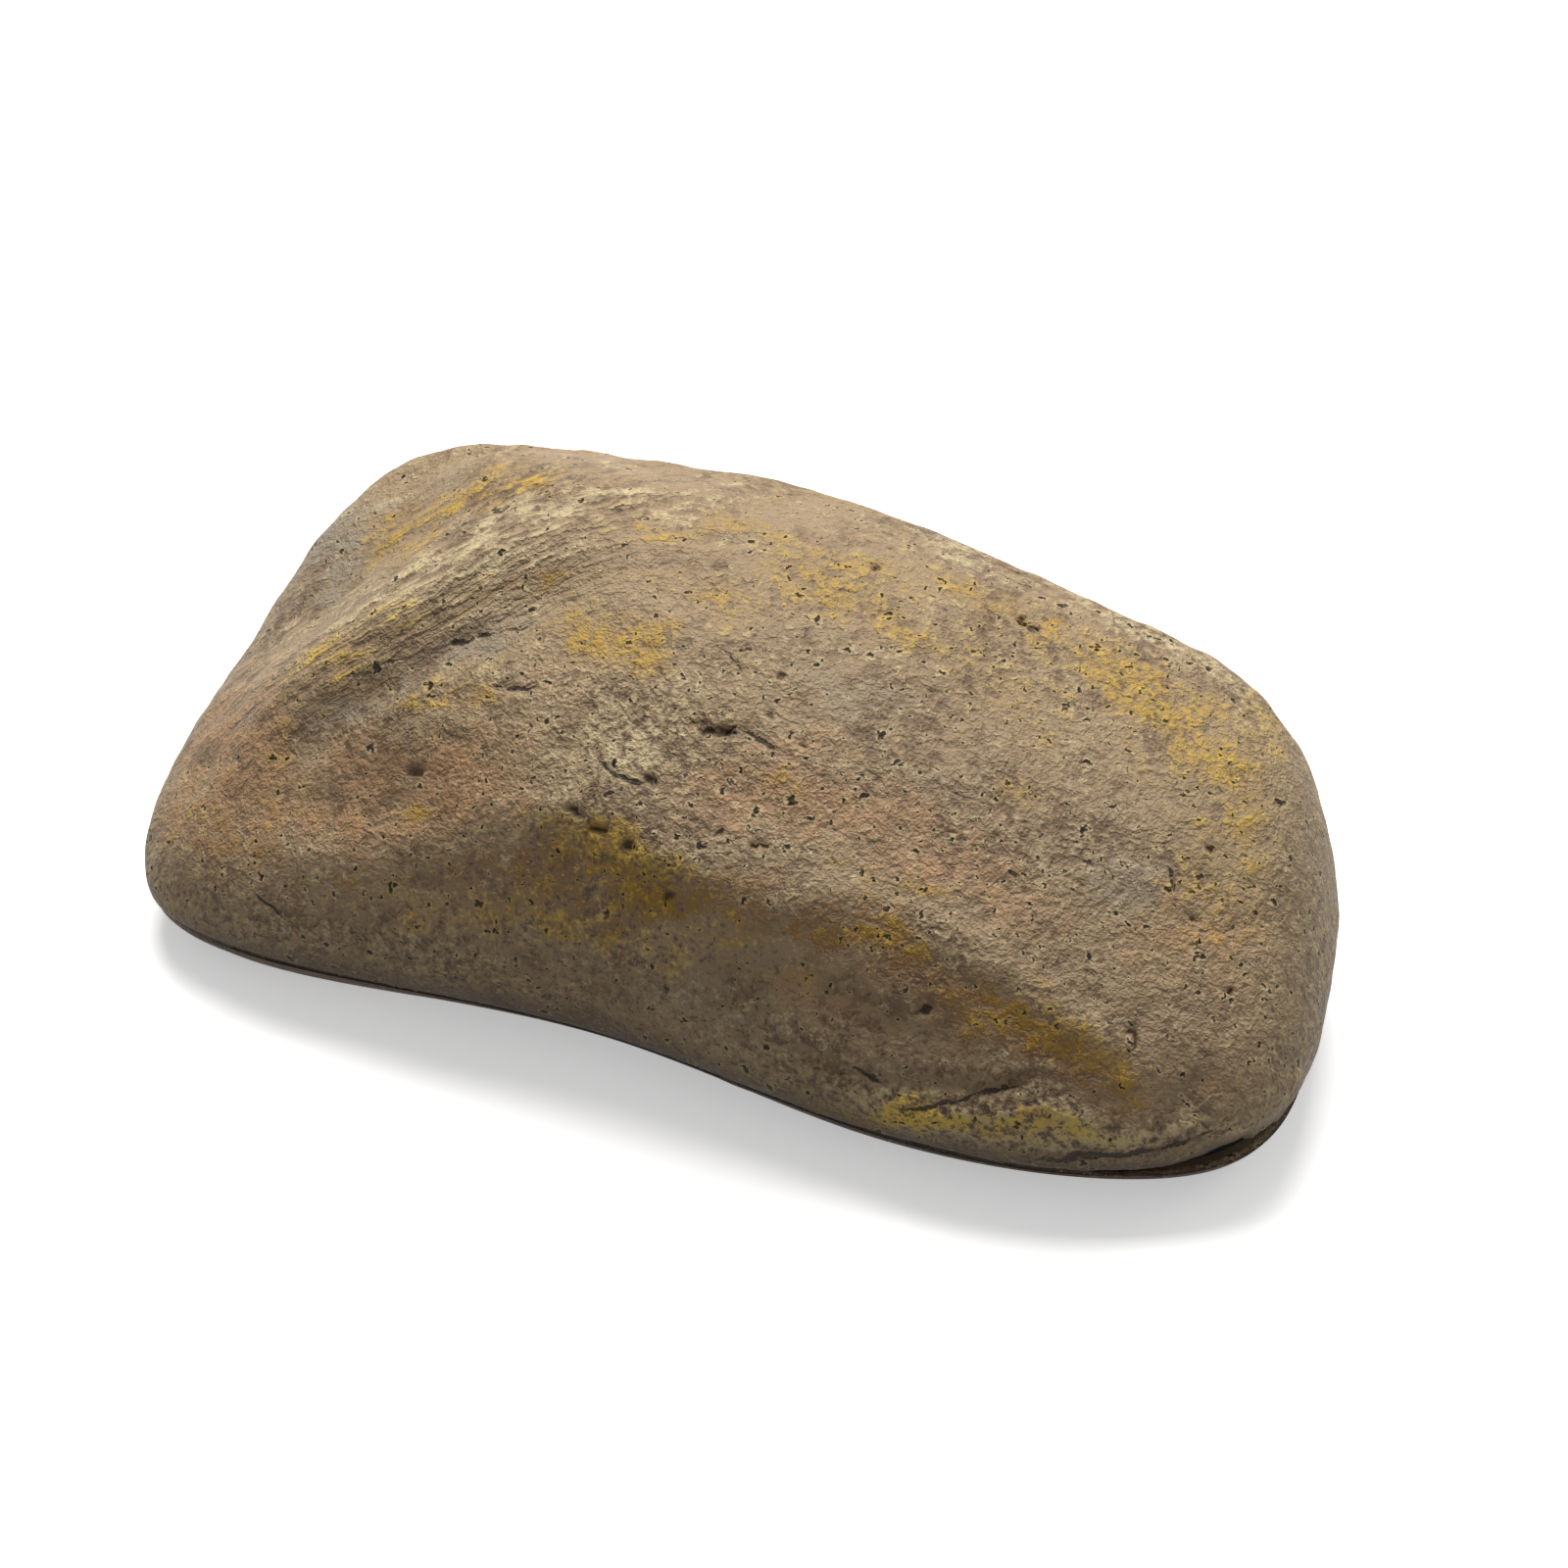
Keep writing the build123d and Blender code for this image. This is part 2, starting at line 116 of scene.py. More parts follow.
def natural_bends(knots: Floats) -> Floats:
    """Matrix that gives a natural cubic spline's second derivatives from its values.

    Args:
        knots: Rising parameters of the spline's points.

    Returns:
        Square matrix M, where M @ values are the second derivatives at the knots.
    """
    gaps, count = np.diff(knots), len(knots)
    left, right = np.eye(count), np.zeros((count, count))
    inner = np.arange(1, count - 1)
    left[inner, inner - 1], left[inner, inner + 1] = gaps[:-1], gaps[1:]
    left[inner, inner] = 2 * (gaps[:-1] + gaps[1:])
    right[inner, inner - 1], right[inner, inner + 1] = 6 / gaps[:-1], 6 / gaps[1:]
    right[inner, inner] = -6 / gaps[:-1] - 6 / gaps[1:]
    return np.linalg.solve(left, right)


def closed_bends(knots: Floats) -> Floats:
    """Matrix for a closed cubic spline, whose last knot is its first point again.

    Args:
        knots: Rising parameters, one more than the spline has points.

    Returns:
        Square matrix M, where M @ values are the second derivatives at the points.
    """
    after = np.diff(knots)
    before, count = np.roll(after, 1), len(after)
    here = np.arange(count)
    last, following = (here - 1) % count, (here + 1) % count
    left, right = np.zeros((count, count)), np.zeros((count, count))
    left[here, last], left[here, following] = before, after
    left[here, here] = 2 * (before + after)
    right[here, last], right[here, following] = 6 / before, 6 / after
    right[here, here] = -6 / before - 6 / after
    return np.linalg.solve(left, right)


def spline_at(knots: Floats, values: Floats, bends: Floats, where: Floats) -> Floats:
    """Cubic spline from its values and second derivatives: between two knots it is their
    weighted mean plus the cubic correction (a^3 - a) and (b^3 - b) of the bends.

    Args:
        knots: Rising parameters.
        values: The spline's values at the knots, knots first.
        bends: Its second derivatives at the knots, knots first.
        where: Parameters to work it out at.

    Returns:
        Values at each parameter.
    """
    index = np.clip(np.searchsorted(knots, where, side="right") - 1, 0, len(knots) - 2)
    shape = (-1,) + (1,) * (values.ndim - 1)
    gap = (knots[index + 1] - knots[index]).reshape(shape)
    b = (where - knots[index]).reshape(shape) / gap
    a = 1 - b
    bend = ((a**3 - a) * bends[index] + (b**3 - b) * bends[index + 1]) * gap**2 / 6
    return a * values[index] + b * values[index + 1] + bend


def smooth_line(points: Pixels, steps: int = 20) -> Floats:
    """A natural cubic spline through a few points, parameter by chord length.

    Args:
        points: Points of the line.
        steps: How many runs the smooth line is given.

    Returns:
        Points along the smooth line.
    """
    marks = np.array(points, float)
    if len(marks) == 2:
        return np.linspace(marks[0], marks[1], steps + 1)
    knots = np.r_[0, np.cumsum(np.linalg.norm(np.diff(marks, axis=0), axis=1))]
    where = np.linspace(0, knots[-1], steps + 1)
    return spline_at(knots, marks, natural_bends(knots) @ marks, where)


def beside_line(where: Floats, line: Floats) -> tuple[Floats, Floats]:
    """Signed distance from a line, and how far along it the nearest point lies.

    Args:
        where: Points, one a row.
        line: Points along the line.

    Returns:
        Distance to the side of the line, positive on its right as it runs down a picture,
        and the length along it to the nearest point.
    """
    best = np.full(len(where), np.inf)
    side, along = np.zeros(len(where)), np.zeros(len(where))
    reached = 0.0
    for start, end in zip(line[:-1], line[1:]):
        run, length = end - start, np.linalg.norm(end - start)
        away = where - start
        share = np.clip(away @ run / length**2, 0, 1)
        gap = np.hypot(*(away - share[:, None] * run).T)
        nearer = gap < best
        turn = np.sign(run[0] * away[:, 1] - run[1] * away[:, 0])
        best = np.where(nearer, gap, best)
        side = np.where(nearer, gap * np.where(turn == 0, 1, turn), side)
        along = np.where(nearer, reached + share * length, along)
        reached += length
    return side, along


@dataclass(frozen=True)
class Lattice:
    """Smooth random values in space: each corner of a cubic lattice holds a hashed number,
    and a quintic fade, 6t^5 - 15t^4 + 10t^3, blends the eight corners round a point."""

    seed: int

    def corner(self, cells: NDArray[np.int64]) -> Floats:
        """Hashed value of each lattice corner.

        Args:
            cells: Whole-number corners, one a row.

        Returns:
            Values from -1 to 1.
        """
        x, y, z = (cells[:, axis].astype(np.uint32) for axis in range(3))
        mixed = x * np.uint32(374761393) + y * np.uint32(668265263)
        mixed += z * np.uint32(2246822519) + np.uint32(self.seed * 3266489917 % 2**32)
        mixed = (mixed ^ (mixed >> np.uint32(15))) * np.uint32(2246822519)
        mixed = (mixed ^ (mixed >> np.uint32(13))) * np.uint32(3266489917)
        return (mixed ^ (mixed >> np.uint32(16))) / 2**31 - 1

    def at(self, points: Floats, cell: float) -> Floats:
        """The noise at points.

        Args:
            points: Points in space, one a row.
            cell: Size of a lattice cell, in the points' units.

        Returns:
            Values from -1 to 1.
        """
        scaled = points / cell
        low = np.floor(scaled).astype(np.int64)
        t = scaled - low
        t = t * t * t * (t * (t * 6 - 15) + 10)
        total = np.zeros(len(points))
        for step in np.ndindex(2, 2, 2):
            weight = np.prod(np.where(step, t, 1 - t), axis=1)
            total += weight * self.corner(low + step)
        return total

    def layered(self, points: Floats, cell: float, layers: int) -> Floats:
        """Sum of ever finer layers, each half the size and half the height of the last.

        Args:
            points: Points in space, one a row.
            cell: Cell size of the coarsest layer.
            layers: How many layers are added.

        Returns:
            Values from about -1 to 1.
        """
        heights = 0.5 ** np.arange(layers)
        parts = [
            height * Lattice(self.seed + 17 * index).at(points, cell * height)
            for index, height in enumerate(heights)
        ]
        return sum(parts) / heights.sum() * 1.4


# ---- The photograph's viewpoint ----------------------------------------------------------------


@dataclass(frozen=True)
class Viewpoint:
    """Where the photograph was taken from, in the part's frame."""

    azimuth: float = 23.0
    elevation: float = 38.0
    distance: float = 620.0
    lens: float = 124.0
    sensor: float = 36.0
    pixels: float = 1600.0
    target: tuple[float, float, float] = (2.5, -0.8, 21.0)

    def axes(self) -> Floats:
        """Directions to the right, up and back towards the camera, one a row."""
        a, e = radians(self.azimuth), radians(self.elevation)
        back = np.array([sin(a) * cos(e), -cos(a) * cos(e), sin(e)])
        right = np.array([cos(a), sin(a), 0.0])
        return np.array([right, np.cross(back, right), back])

    def place(self) -> Floats:
        """The camera's place in millimetres."""
        return np.array(self.target) + self.axes()[2] * self.distance

    def project(self, points: Floats) -> Floats:
        """Pixels of the photograph where points are seen: the right and up parts of the
        way from the camera, over its forward part, times the lens in pixels.

        Args:
            points: Points in millimetres, one a row.

        Returns:
            Pixels, one a row, from the picture's top left corner.
        """
        right, up, back = self.axes()
        away = points - self.place()
        scale = self.lens / self.sensor * self.pixels / -(away @ back)
        half = self.pixels / 2
        return np.stack([half + scale * (away @ right), half - scale * (away @ up)], axis=1)

    def facing(self, points: Floats, normals: Floats) -> Floats:
        """How far the surface is turned to the camera, 0 to 1, with a soft edge.

        Args:
            points: Points in millimetres, one a row.
            normals: Outward directions, one a row.

        Returns:
            0 where the surface is turned away, 1 where it is well in view.
        """
        towards = self.place() - points
        towards /= np.linalg.norm(towards, axis=1, keepdims=True)
        return ease(np.sum(towards * normals, axis=1), -0.02, 0.2)

    @property
    def pixels_per_mm(self) -> float:
        """Pixels that a millimetre fills at the target."""
        return self.lens / self.sensor * self.pixels / self.distance


# ---- The rock's smooth form --------------------------------------------------------------------


@dataclass(frozen=True)
class RockForm:
    """The rock's smooth form, from the same stations and rings as its CAD solid: closed
    cubic splines round the rock, and a natural cubic up it from foot to crown."""

    length: float = 140.0
    depth: float = 77.0
    height: float = 48.0
    inset: float = 0.0
    crown: tuple[float, float] = (-29.5, 17.0)
    side_share: float = 0.25
    brow: tuple[float, ...] = (0.8, 0.6, 0.4, 0.2, 0.1)
    # Stations round the rock: x, y, belly, tuck, inset, shoulder, and the dips of the
    # outermost three brow rings.
    stations: tuple[tuple[float, ...], ...] = (
        (-91.5, -83.0, 17.0, 5.5, 7.0, 38.0, 0.2, -0.4, -0.6),
        (-76.0, -94.3, 19.0, 6.0, 7.3, 42.0, 1.3, 0.7, 0.0),
        (-52.0, -96.0, 23.0, 7.5, 8.0, 52.0, -0.3, 0.9, 1.0),
        (-9.5, -92.0, 25.0, 9.0, 6.0, 67.0, 0.0, 0.0, 0.2),
        (36.5, -98.5, 23.0, 7.0, 8.0, 59.0, 0.0, 0.0, 0.0),
        (73.5, -91.0, 19.0, 8.0, 7.0, 46.0, 0.0, 0.0, 0.0),
        (98.0, -61.0, 21.0, 6.0, 8.0, 46.0, 0.0, 0.0, 0.0),
        (99.5, -9.0, 25.0, 5.0, 8.0, 58.0, 0.0, 0.0, 0.0),
        (86.5, 53.5, 29.0, 6.0, 7.0, 71.0, -0.5, 0.0, 0.0),
        (56.5, 87.0, 31.0, 6.0, 10.0, 77.0, -0.8, 0.0, 0.0),
        (8.0, 100.0, 33.0, 6.0, 10.0, 81.0, -1.0, 0.0, 0.0),
        (-43.5, 100.0, 33.0, 6.0, 10.0, 80.0, -1.0, 0.0, 0.0),
        (-94.0, 80.5, 29.0, 6.0, 8.0, 66.0, 2.5, 0.0, 0.0),
        (-100.5, -4.0, 23.0, 5.0, 8.0, 50.0, 1.8, 0.2, 0.0),
        (-99.3, -49.6, 19.0, 5.3, 7.6, 42.0, -0.7, -0.7, 0.0),
    )

    def __post_init__(self) -> None:
        """Works out the rings and the matrices that bend the splines."""
        rows = np.array(self.stations)
        spots = rows[:, :2] * (self.length, self.depth) / 200
        chord = np.roll(spots, -1, axis=0) - np.roll(spots, 1, axis=0)
        outward = np.stack([chord[:, 1], -chord[:, 0]], axis=1)
        outward /= np.linalg.norm(outward, axis=1, keepdims=True)
        lines = np.stack(self.levels(rows, spots, outward), axis=1)
        steps = np.linalg.norm(np.roll(spots, -1, axis=0) - spots, axis=1)
        shares = np.r_[0, np.cumsum(steps)] / steps.sum()
        bends = np.einsum("ij,jkl->ikl", closed_bends(shares), lines)
        rises = np.linalg.norm(np.diff(lines, axis=1), axis=2).mean(axis=0)
        heights = np.r_[0, np.cumsum(rises)] / rises.sum()
        for name, value in (
            ("shares", shares),
            ("heights", heights),
            ("lines", np.concatenate([lines, lines[:1]])),
            ("bends", np.concatenate([bends, bends[:1]])),
            ("up_bends", natural_bends(heights)),
        ):
            object.__setattr__(self, name, value)

    def levels(self, rows: Floats, spots: Floats, outward: Floats) -> list[Floats]:
        """Rings from the foot to the crown, as the CAD form has them.

        Args:
            rows: The stations.
            spots: Their places on the belly.
            outward: Their outward directions.

        Returns:
            A list of rings, each with one point a station.
        """
        belly, tuck, shoulder_in, shoulder, *dips = rows[:, 2:].T
        belly_z = self.height * belly / 100
        shoulder_z = self.height * shoulder / 100 - self.inset
        sides = (
            (self.inset + tuck, 0 * tuck),
            (self.inset + tuck * self.side_share, belly_z / 2),
            (self.inset + 0 * tuck, belly_z),
            (self.inset + shoulder_in * self.side_share, (belly_z + shoulder_z) / 2),
            (self.inset + shoulder_in, shoulder_z),
        )
        rings = [np.c_[spots - outward * inside[:, None], z] for inside, z in sides]
        crown_xy = np.array(self.crown) * (self.length, self.depth) / 200
        crown_z = self.height - self.inset
        brow = rings[-1]
        for share, dip in zip_longest(self.brow, dips, fillvalue=0):
            plan = crown_xy + (brow[:, :2] - crown_xy) * share
            drop = (crown_z - brow[:, 2]) * share**2 + dip
            rings.append(np.c_[plan, crown_z - drop])
        rings.append(np.tile([*crown_xy, crown_z], (len(rows), 1)))
        return rings

    def at(self, round_share: Floats, up_share: Floats) -> Floats:
        """The form's point at a share of the way round and a share of the way up.

        Args:
            round_share: Share of the way round, counter-clockwise from the front left.
            up_share: Share of the way from foot to crown.

        Returns:
            Points in millimetres, one a row.
        """
        lines = spline_at(self.shares, self.lines, self.bends, round_share % 1)
        bends = np.einsum("ij,mjk->mik", self.up_bends, lines)
        knots, here = self.heights, np.arange(len(lines))
        index = np.clip(np.searchsorted(knots, up_share, side="right") - 1, 0, len(knots) - 2)
        gap = (knots[index + 1] - knots[index])[:, None]
        b = (up_share - knots[index])[:, None] / gap
        a = 1 - b
        low, high = lines[here, index], lines[here, index + 1]
        low_bend, high_bend = bends[here, index], bends[here, index + 1]
        bend = ((a**3 - a) * low_bend + (b**3 - b) * high_bend) * gap**2 / 6
        return a * low + b * high + bend

    def up_at(self, round_share: Floats, z: float) -> Floats:
        """Share of the way up at which the side reaches a height, by halving.

        Args:
            round_share: Shares of the way round.
            z: Height in millimetres.

        Returns:
            Share of the way up for each share of the way round.
        """
        table = np.linspace(0, 1, 241)
        low, high = np.zeros(len(table)), np.full(len(table), self.heights[4])
        for _ in range(24):
            middle = (low + high) / 2
            under = self.at(table, middle)[:, 2] < z
            low, high = np.where(under, middle, low), np.where(under, high, middle)
        return np.interp(round_share % 1, table, low)


# ---- Relief: folds, cracks, pits ---------------------------------------------------------------


@dataclass(frozen=True)
class Fold:
    """A ridge or trough along a line of the photograph: a bell across, tapered at its ends."""

    line: Pixels
    width: float  # pixels, from the crest to where the bell has fallen to a third
    height: float  # millimetres, below zero for a trough
    end: float = 60.0  # pixels over which each end tapers

    def relief(self, seen: Floats) -> Floats:
        """Height of the fold at pixels of the photograph.

        Args:
            seen: Pixels, one a row.

        Returns:
            Heights in millimetres.
        """
        line = smooth_line(self.line)
        side, along = beside_line(seen, line)
        total = np.linalg.norm(np.diff(line, axis=0), axis=1).sum()
        taper = ease(along, -1, self.end) * ease(total - along, -1, self.end)
        return self.height * np.exp(-((side / self.width) ** 2)) * taper


@dataclass(frozen=True)
class Crack:
    """A thin dark split in the casting, along a line of the photograph."""

    line: Pixels
    width: float  # millimetres, half of the opening
    depth: float  # millimetres


@dataclass(frozen=True)
class Spot:
    """A soft-edged ellipse of the photograph: a blotch of paint, a pit or a dent."""

    centre: tuple[float, float]
    radii: tuple[float, float]
    turn: float = 0.0  # degrees, clockwise in the picture
    strength: float = 1.0

    def share(self, seen: Floats, edge: float = 1.6) -> Floats:
        """How much of the spot covers each pixel: 1 inside, easing to 0 outside.

        Args:
            seen: Pixels, one a row.
            edge: How many radii out the spot has ended, from 1 to 2.

        Returns:
            Shares times the spot's strength.
        """
        t = radians(self.turn)
        across = (seen - self.centre) @ np.array([[cos(t), -sin(t)], [sin(t), cos(t)]])
        reach = np.hypot(*(across / self.radii).T)
        return self.strength * (1 - ease(reach, 2 - edge, edge))


def spots(*rows: tuple[float, ...]) -> tuple[Spot, ...]:
    """Spots from rows of two pixels for the centre, two radii, the turn and the strength."""
    return tuple(Spot(row[:2], row[2:4], *row[4:]) for row in rows)


FOLDS = (
    # Left end: pale ridge, the ochre trough beyond it and the far edge.
    Fold(((790, 505), (700, 503), (590, 520), (480, 572), (380, 632), (290, 690), (205, 790)),
         30, 0.4, 90),
    Fold(((600, 482), (520, 500), (430, 545), (350, 605), (285, 665)), 26, -0.55, 80),
    Fold(((470, 478), (400, 500), (335, 560), (285, 630)), 20, 0.4),
    # Second trough, with its low ridge nearer the front.
    Fold(((660, 575), (570, 605), (480, 655), (390, 700), (310, 755), (240, 830)),
         22, -0.5, 90),
    Fold(((600, 650), (500, 675), (410, 715), (330, 770), (280, 830)), 22, 0.45, 70),
    # Edge of the top, from the left end over the bulge to the front right.
    Fold(((210, 870), (330, 868), (450, 860), (540, 835), (600, 828), (660, 845)), 30, 0.55, 80),
    Fold(((620, 845), (700, 890), (800, 915), (900, 925)), 26, 0.7),
    Fold(((930, 930), (1000, 975), (1070, 1020), (1165, 1082)), 20, 0.7, 50),
    Fold(((700, 990), (820, 1020), (930, 1060), (1010, 1090)), 34, -0.8, 70),
    # Shallow saddle on top and the low folds at the front right.
    Fold(((850, 700), (930, 760), (1020, 800)), 70, -0.5, 90),
    Fold(((1090, 1140), (1180, 1135), (1260, 1085)), 26, -0.6, 60),
    Fold(((820, 1075), (900, 1100), (980, 1105), (1060, 1100)), 9, -0.5, 30),
    Fold(((860, 1115), (950, 1140), (1060, 1140), (1150, 1165)), 16, 0.6, 50),
)
CRACKS = (
    Crack(((456, 655), (478, 650), (500, 644)), 0.35, 0.8),
    Crack(((500, 644), (520, 641), (548, 636)), 0.14, 0.3),
    Crack(((350, 693), (385, 682), (425, 668)), 0.2, 0.4),
    Crack(((500, 519), (520, 516)), 0.3, 0.5),
    Crack(((505, 700), (530, 704), (550, 697)), 0.3, 0.5),
    Crack(((607, 770), (630, 790), (655, 800), (664, 796)), 0.24, 0.5),
    Crack(((712, 738), (735, 748), (752, 740)), 0.4, 0.8),
    Crack(((752, 745), (780, 755), (800, 770)), 0.2, 0.5),
    Crack(((720, 655), (750, 672), (765, 700)), 0.12, 0.25),
    Crack(((925, 803), (965, 806), (1005, 818)), 0.1, 0.2),
    Crack(((1092, 876), (1105, 878), (1118, 884)), 0.22, 0.4),
    Crack(((1190, 882), (1197, 898), (1200, 912)), 0.22, 0.4),
    Crack(((866, 1092), (885, 1100), (905, 1110)), 0.28, 0.7),
    Crack(((905, 1128), (945, 1130), (985, 1122), (1030, 1110), (1055, 1104)), 0.24, 0.7),
    Crack(((1028, 890), (1042, 894)), 0.3, 0.5),
    Crack(((255, 905), (275, 925), (320, 938)), 0.2, 0.35),
    Crack(((985, 560), (1030, 580), (1060, 592)), 0.12, 0.2),
    Crack(((1262, 1142), (1215, 1166), (1130, 1182), (1040, 1186)), 0.3, 0.8),
)
DENTS = spots(
    (1045, 632, 7, 4, 25, 0.8), (1056, 637, 4, 3, 0, 0.5), (586, 829, 8, 5, 30, 0.9),
    (608, 846, 9, 5, 10, 0.8), (641, 862, 9, 7, -35, 1.1), (640, 836, 6, 4, 0, 0.5),
    (736, 748, 18, 5, -4, 0.8), (712, 738, 7, 4, 10, 0.5), (662, 796, 7, 5, 15, 0.8),
    (763, 662, 6, 3, 0, 0.6), (796, 690, 8, 3, 10, 0.6), (786, 732, 5, 4, 0, 0.5),
    (894, 578, 5, 3, 0, 0.5), (944, 1031, 6, 4, 20, 0.6), (774, 864, 8, 3, 10, 0.5),
    (736, 850, 7, 4, -20, 0.5), (683, 917, 5, 4, 0, 0.6), (1155, 1054, 7, 4, 40, 0.7),
    (1160, 1066, 5, 4, 50, 0.6), (1091, 893, 5, 4, 20, 0.5), (1232, 868, 4, 5, -20, 0.5),
    (1220, 937, 4, 3, 0, 0.5), (1258, 1013, 4, 3, 0, 0.5), (680, 1009, 6, 4, 20, 0.6),
    (425, 785, 8, 4, 0, 0.5), (396, 862, 4, 3, 0, 0.5), (820, 758, 6, 4, 0, 0.4),
    (955, 702, 6, 4, 10, 0.4),
)


@dataclass(frozen=True)
class Relief:
    """Everything that lifts or sinks the rough stone from its smooth form."""

    view: Viewpoint
    ridge: Pixels = (
        (1000, 575),
        (860, 520),
        (700, 503),
        (590, 520),
        (480, 572),
        (380, 632),
        (290, 690),
        (205, 790),
        (120, 960),
    )
    lumps: Lattice = Lattice(11)
    grain: Lattice = Lattice(29)
    least: float = 0.12  # least height near the foot, over the smooth slab

    def striae(self, points: Floats, normals: Floats) -> tuple[Floats, Floats, Floats]:
        """Place beside and along the pale ridge, and how strongly it is combed by lines.

        Args:
            points: Points in millimetres.
            normals: Outward directions.

        Returns:
            Millimetres across the ridge, millimetres along it, and the share of lines.
        """
        seen = self.view.project(points)
        side, along = beside_line(seen, smooth_line(self.ridge, 40))
        scale = self.view.pixels_per_mm
        near = np.exp(-((side / 95.0) ** 2)) * (1 - ease(seen[:, 0], 520.0, 900.0))
        near *= 1 - 0.65 * ease(seen[:, 1], 640.0, 800.0)
        far = 0.35 * np.exp(-((side / 60.0) ** 2))
        share = np.maximum(near, far) * self.view.facing(points, normals)
        return side / scale, along / scale, share

    def cracks(self, points: Floats, normals: Floats) -> tuple[Floats, Floats, Floats]:
        """The nearest crack: signed distance, half width there, and depth there.

        Args:
            points: Points in millimetres.
            normals: Outward directions.

        Returns:
            Distance beside the crack, its half width and its depth, all in millimetres.
        """
        seen, scale = self.view.project(points), self.view.pixels_per_mm
        wobble = 0.35 * self.grain.at(points, 1.6)
        facing = self.view.facing(points, normals)
        offset, reach = np.full(len(points), 9.0), np.zeros(len(points))
        depth = np.zeros(len(points))
        for crack in CRACKS:
            line = smooth_line(crack.line, 10)
            side, along = beside_line(seen, line)
            total = np.linalg.norm(np.diff(line, axis=0), axis=1).sum()
            share = np.clip(np.minimum(along, total - along) / (0.3 * total), 0, 1)
            width = crack.width * np.sqrt(share + 0.02) * facing
            nearer = np.abs(side / scale) < np.abs(offset)
            offset = np.where(nearer, side / scale + wobble, offset)
            reach = np.where(nearer, width, reach)
            depth = np.where(nearer, crack.depth * share * facing, depth)
        return offset, reach, depth

    def dents(self, points: Floats, normals: Floats) -> Floats:
        """Depth of the larger holes that the photograph shows, in millimetres.

        Args:
            points: Points in millimetres.
            normals: Outward directions.

        Returns:
            Depths in millimetres.
        """
        ragged = 1 + 0.5 * self.grain.at(points, 1.1)
        push = np.c_[self.grain.at(points, 1.7), self.grain.at(points + 50, 1.7)]
        seen = self.view.project(points) + 5.0 * push
        depth = sum(spot.share(seen, 1.4) for spot in DENTS)
        return depth * ragged * self.view.facing(points, normals)

    def height(self, points: Floats, normals: Floats) -> Floats:
        """Height of the rough surface over the smooth one: lumps in four sizes, the folds,
        the combed lines, less the cracks and dents.

        Args:
            points: Points in millimetres.
            normals: Outward directions.

        Returns:
            Heights in millimetres.
        """
        seen, facing = self.view.project(points), self.view.facing(points, normals)
        rough = 0.45 * self.lumps.at(points, 27.0) + 0.26 * self.lumps.at(points, 12.0)
        rough += 0.17 * self.lumps.at(points + 40, 5.5) + 0.13 * self.grain.at(points, 2.4)
        waves = [self.lumps.layered(points + shift, 9.0, 2) for shift in (0.0, 70.0)]
        wavy = seen + 11.0 * np.stack(waves, axis=1)
        folds = sum(fold.relief(wavy) for fold in FOLDS) * facing
        across, along, share = self.striae(points, normals)
        combed = np.c_[across / 1.5, along / 13.0, 0 * across]
        lines = 0.3 * share * self.grain.layered(combed, 1.0, 2)
        offset, reach, depth = self.cracks(points, normals)
        splits = 0.4 * depth * np.exp(-((offset / (0.35 + reach)) ** 2))
        height = rough + folds + lines - splits - 0.8 * self.dents(points, normals)
        low = 1 - ease(points[:, 2], 6.0, 11.0)
        return height + low * (np.maximum(height, self.least) - height)


# ---- Paint masks ------------------------------------------------------------------------------


class Pigment(Enum):
    """Paints that are dabbed on the stone's base colour, and the wear in it."""

    OCHRE = "ochre"
    RUST = "rust"
    # Pale paint, partly a painted highlight on the ridge and edges that catch the light.
    PALE = "pale"
    GREY = "grey"
    BLUSH = "blush"
    PITTING = "pitting"


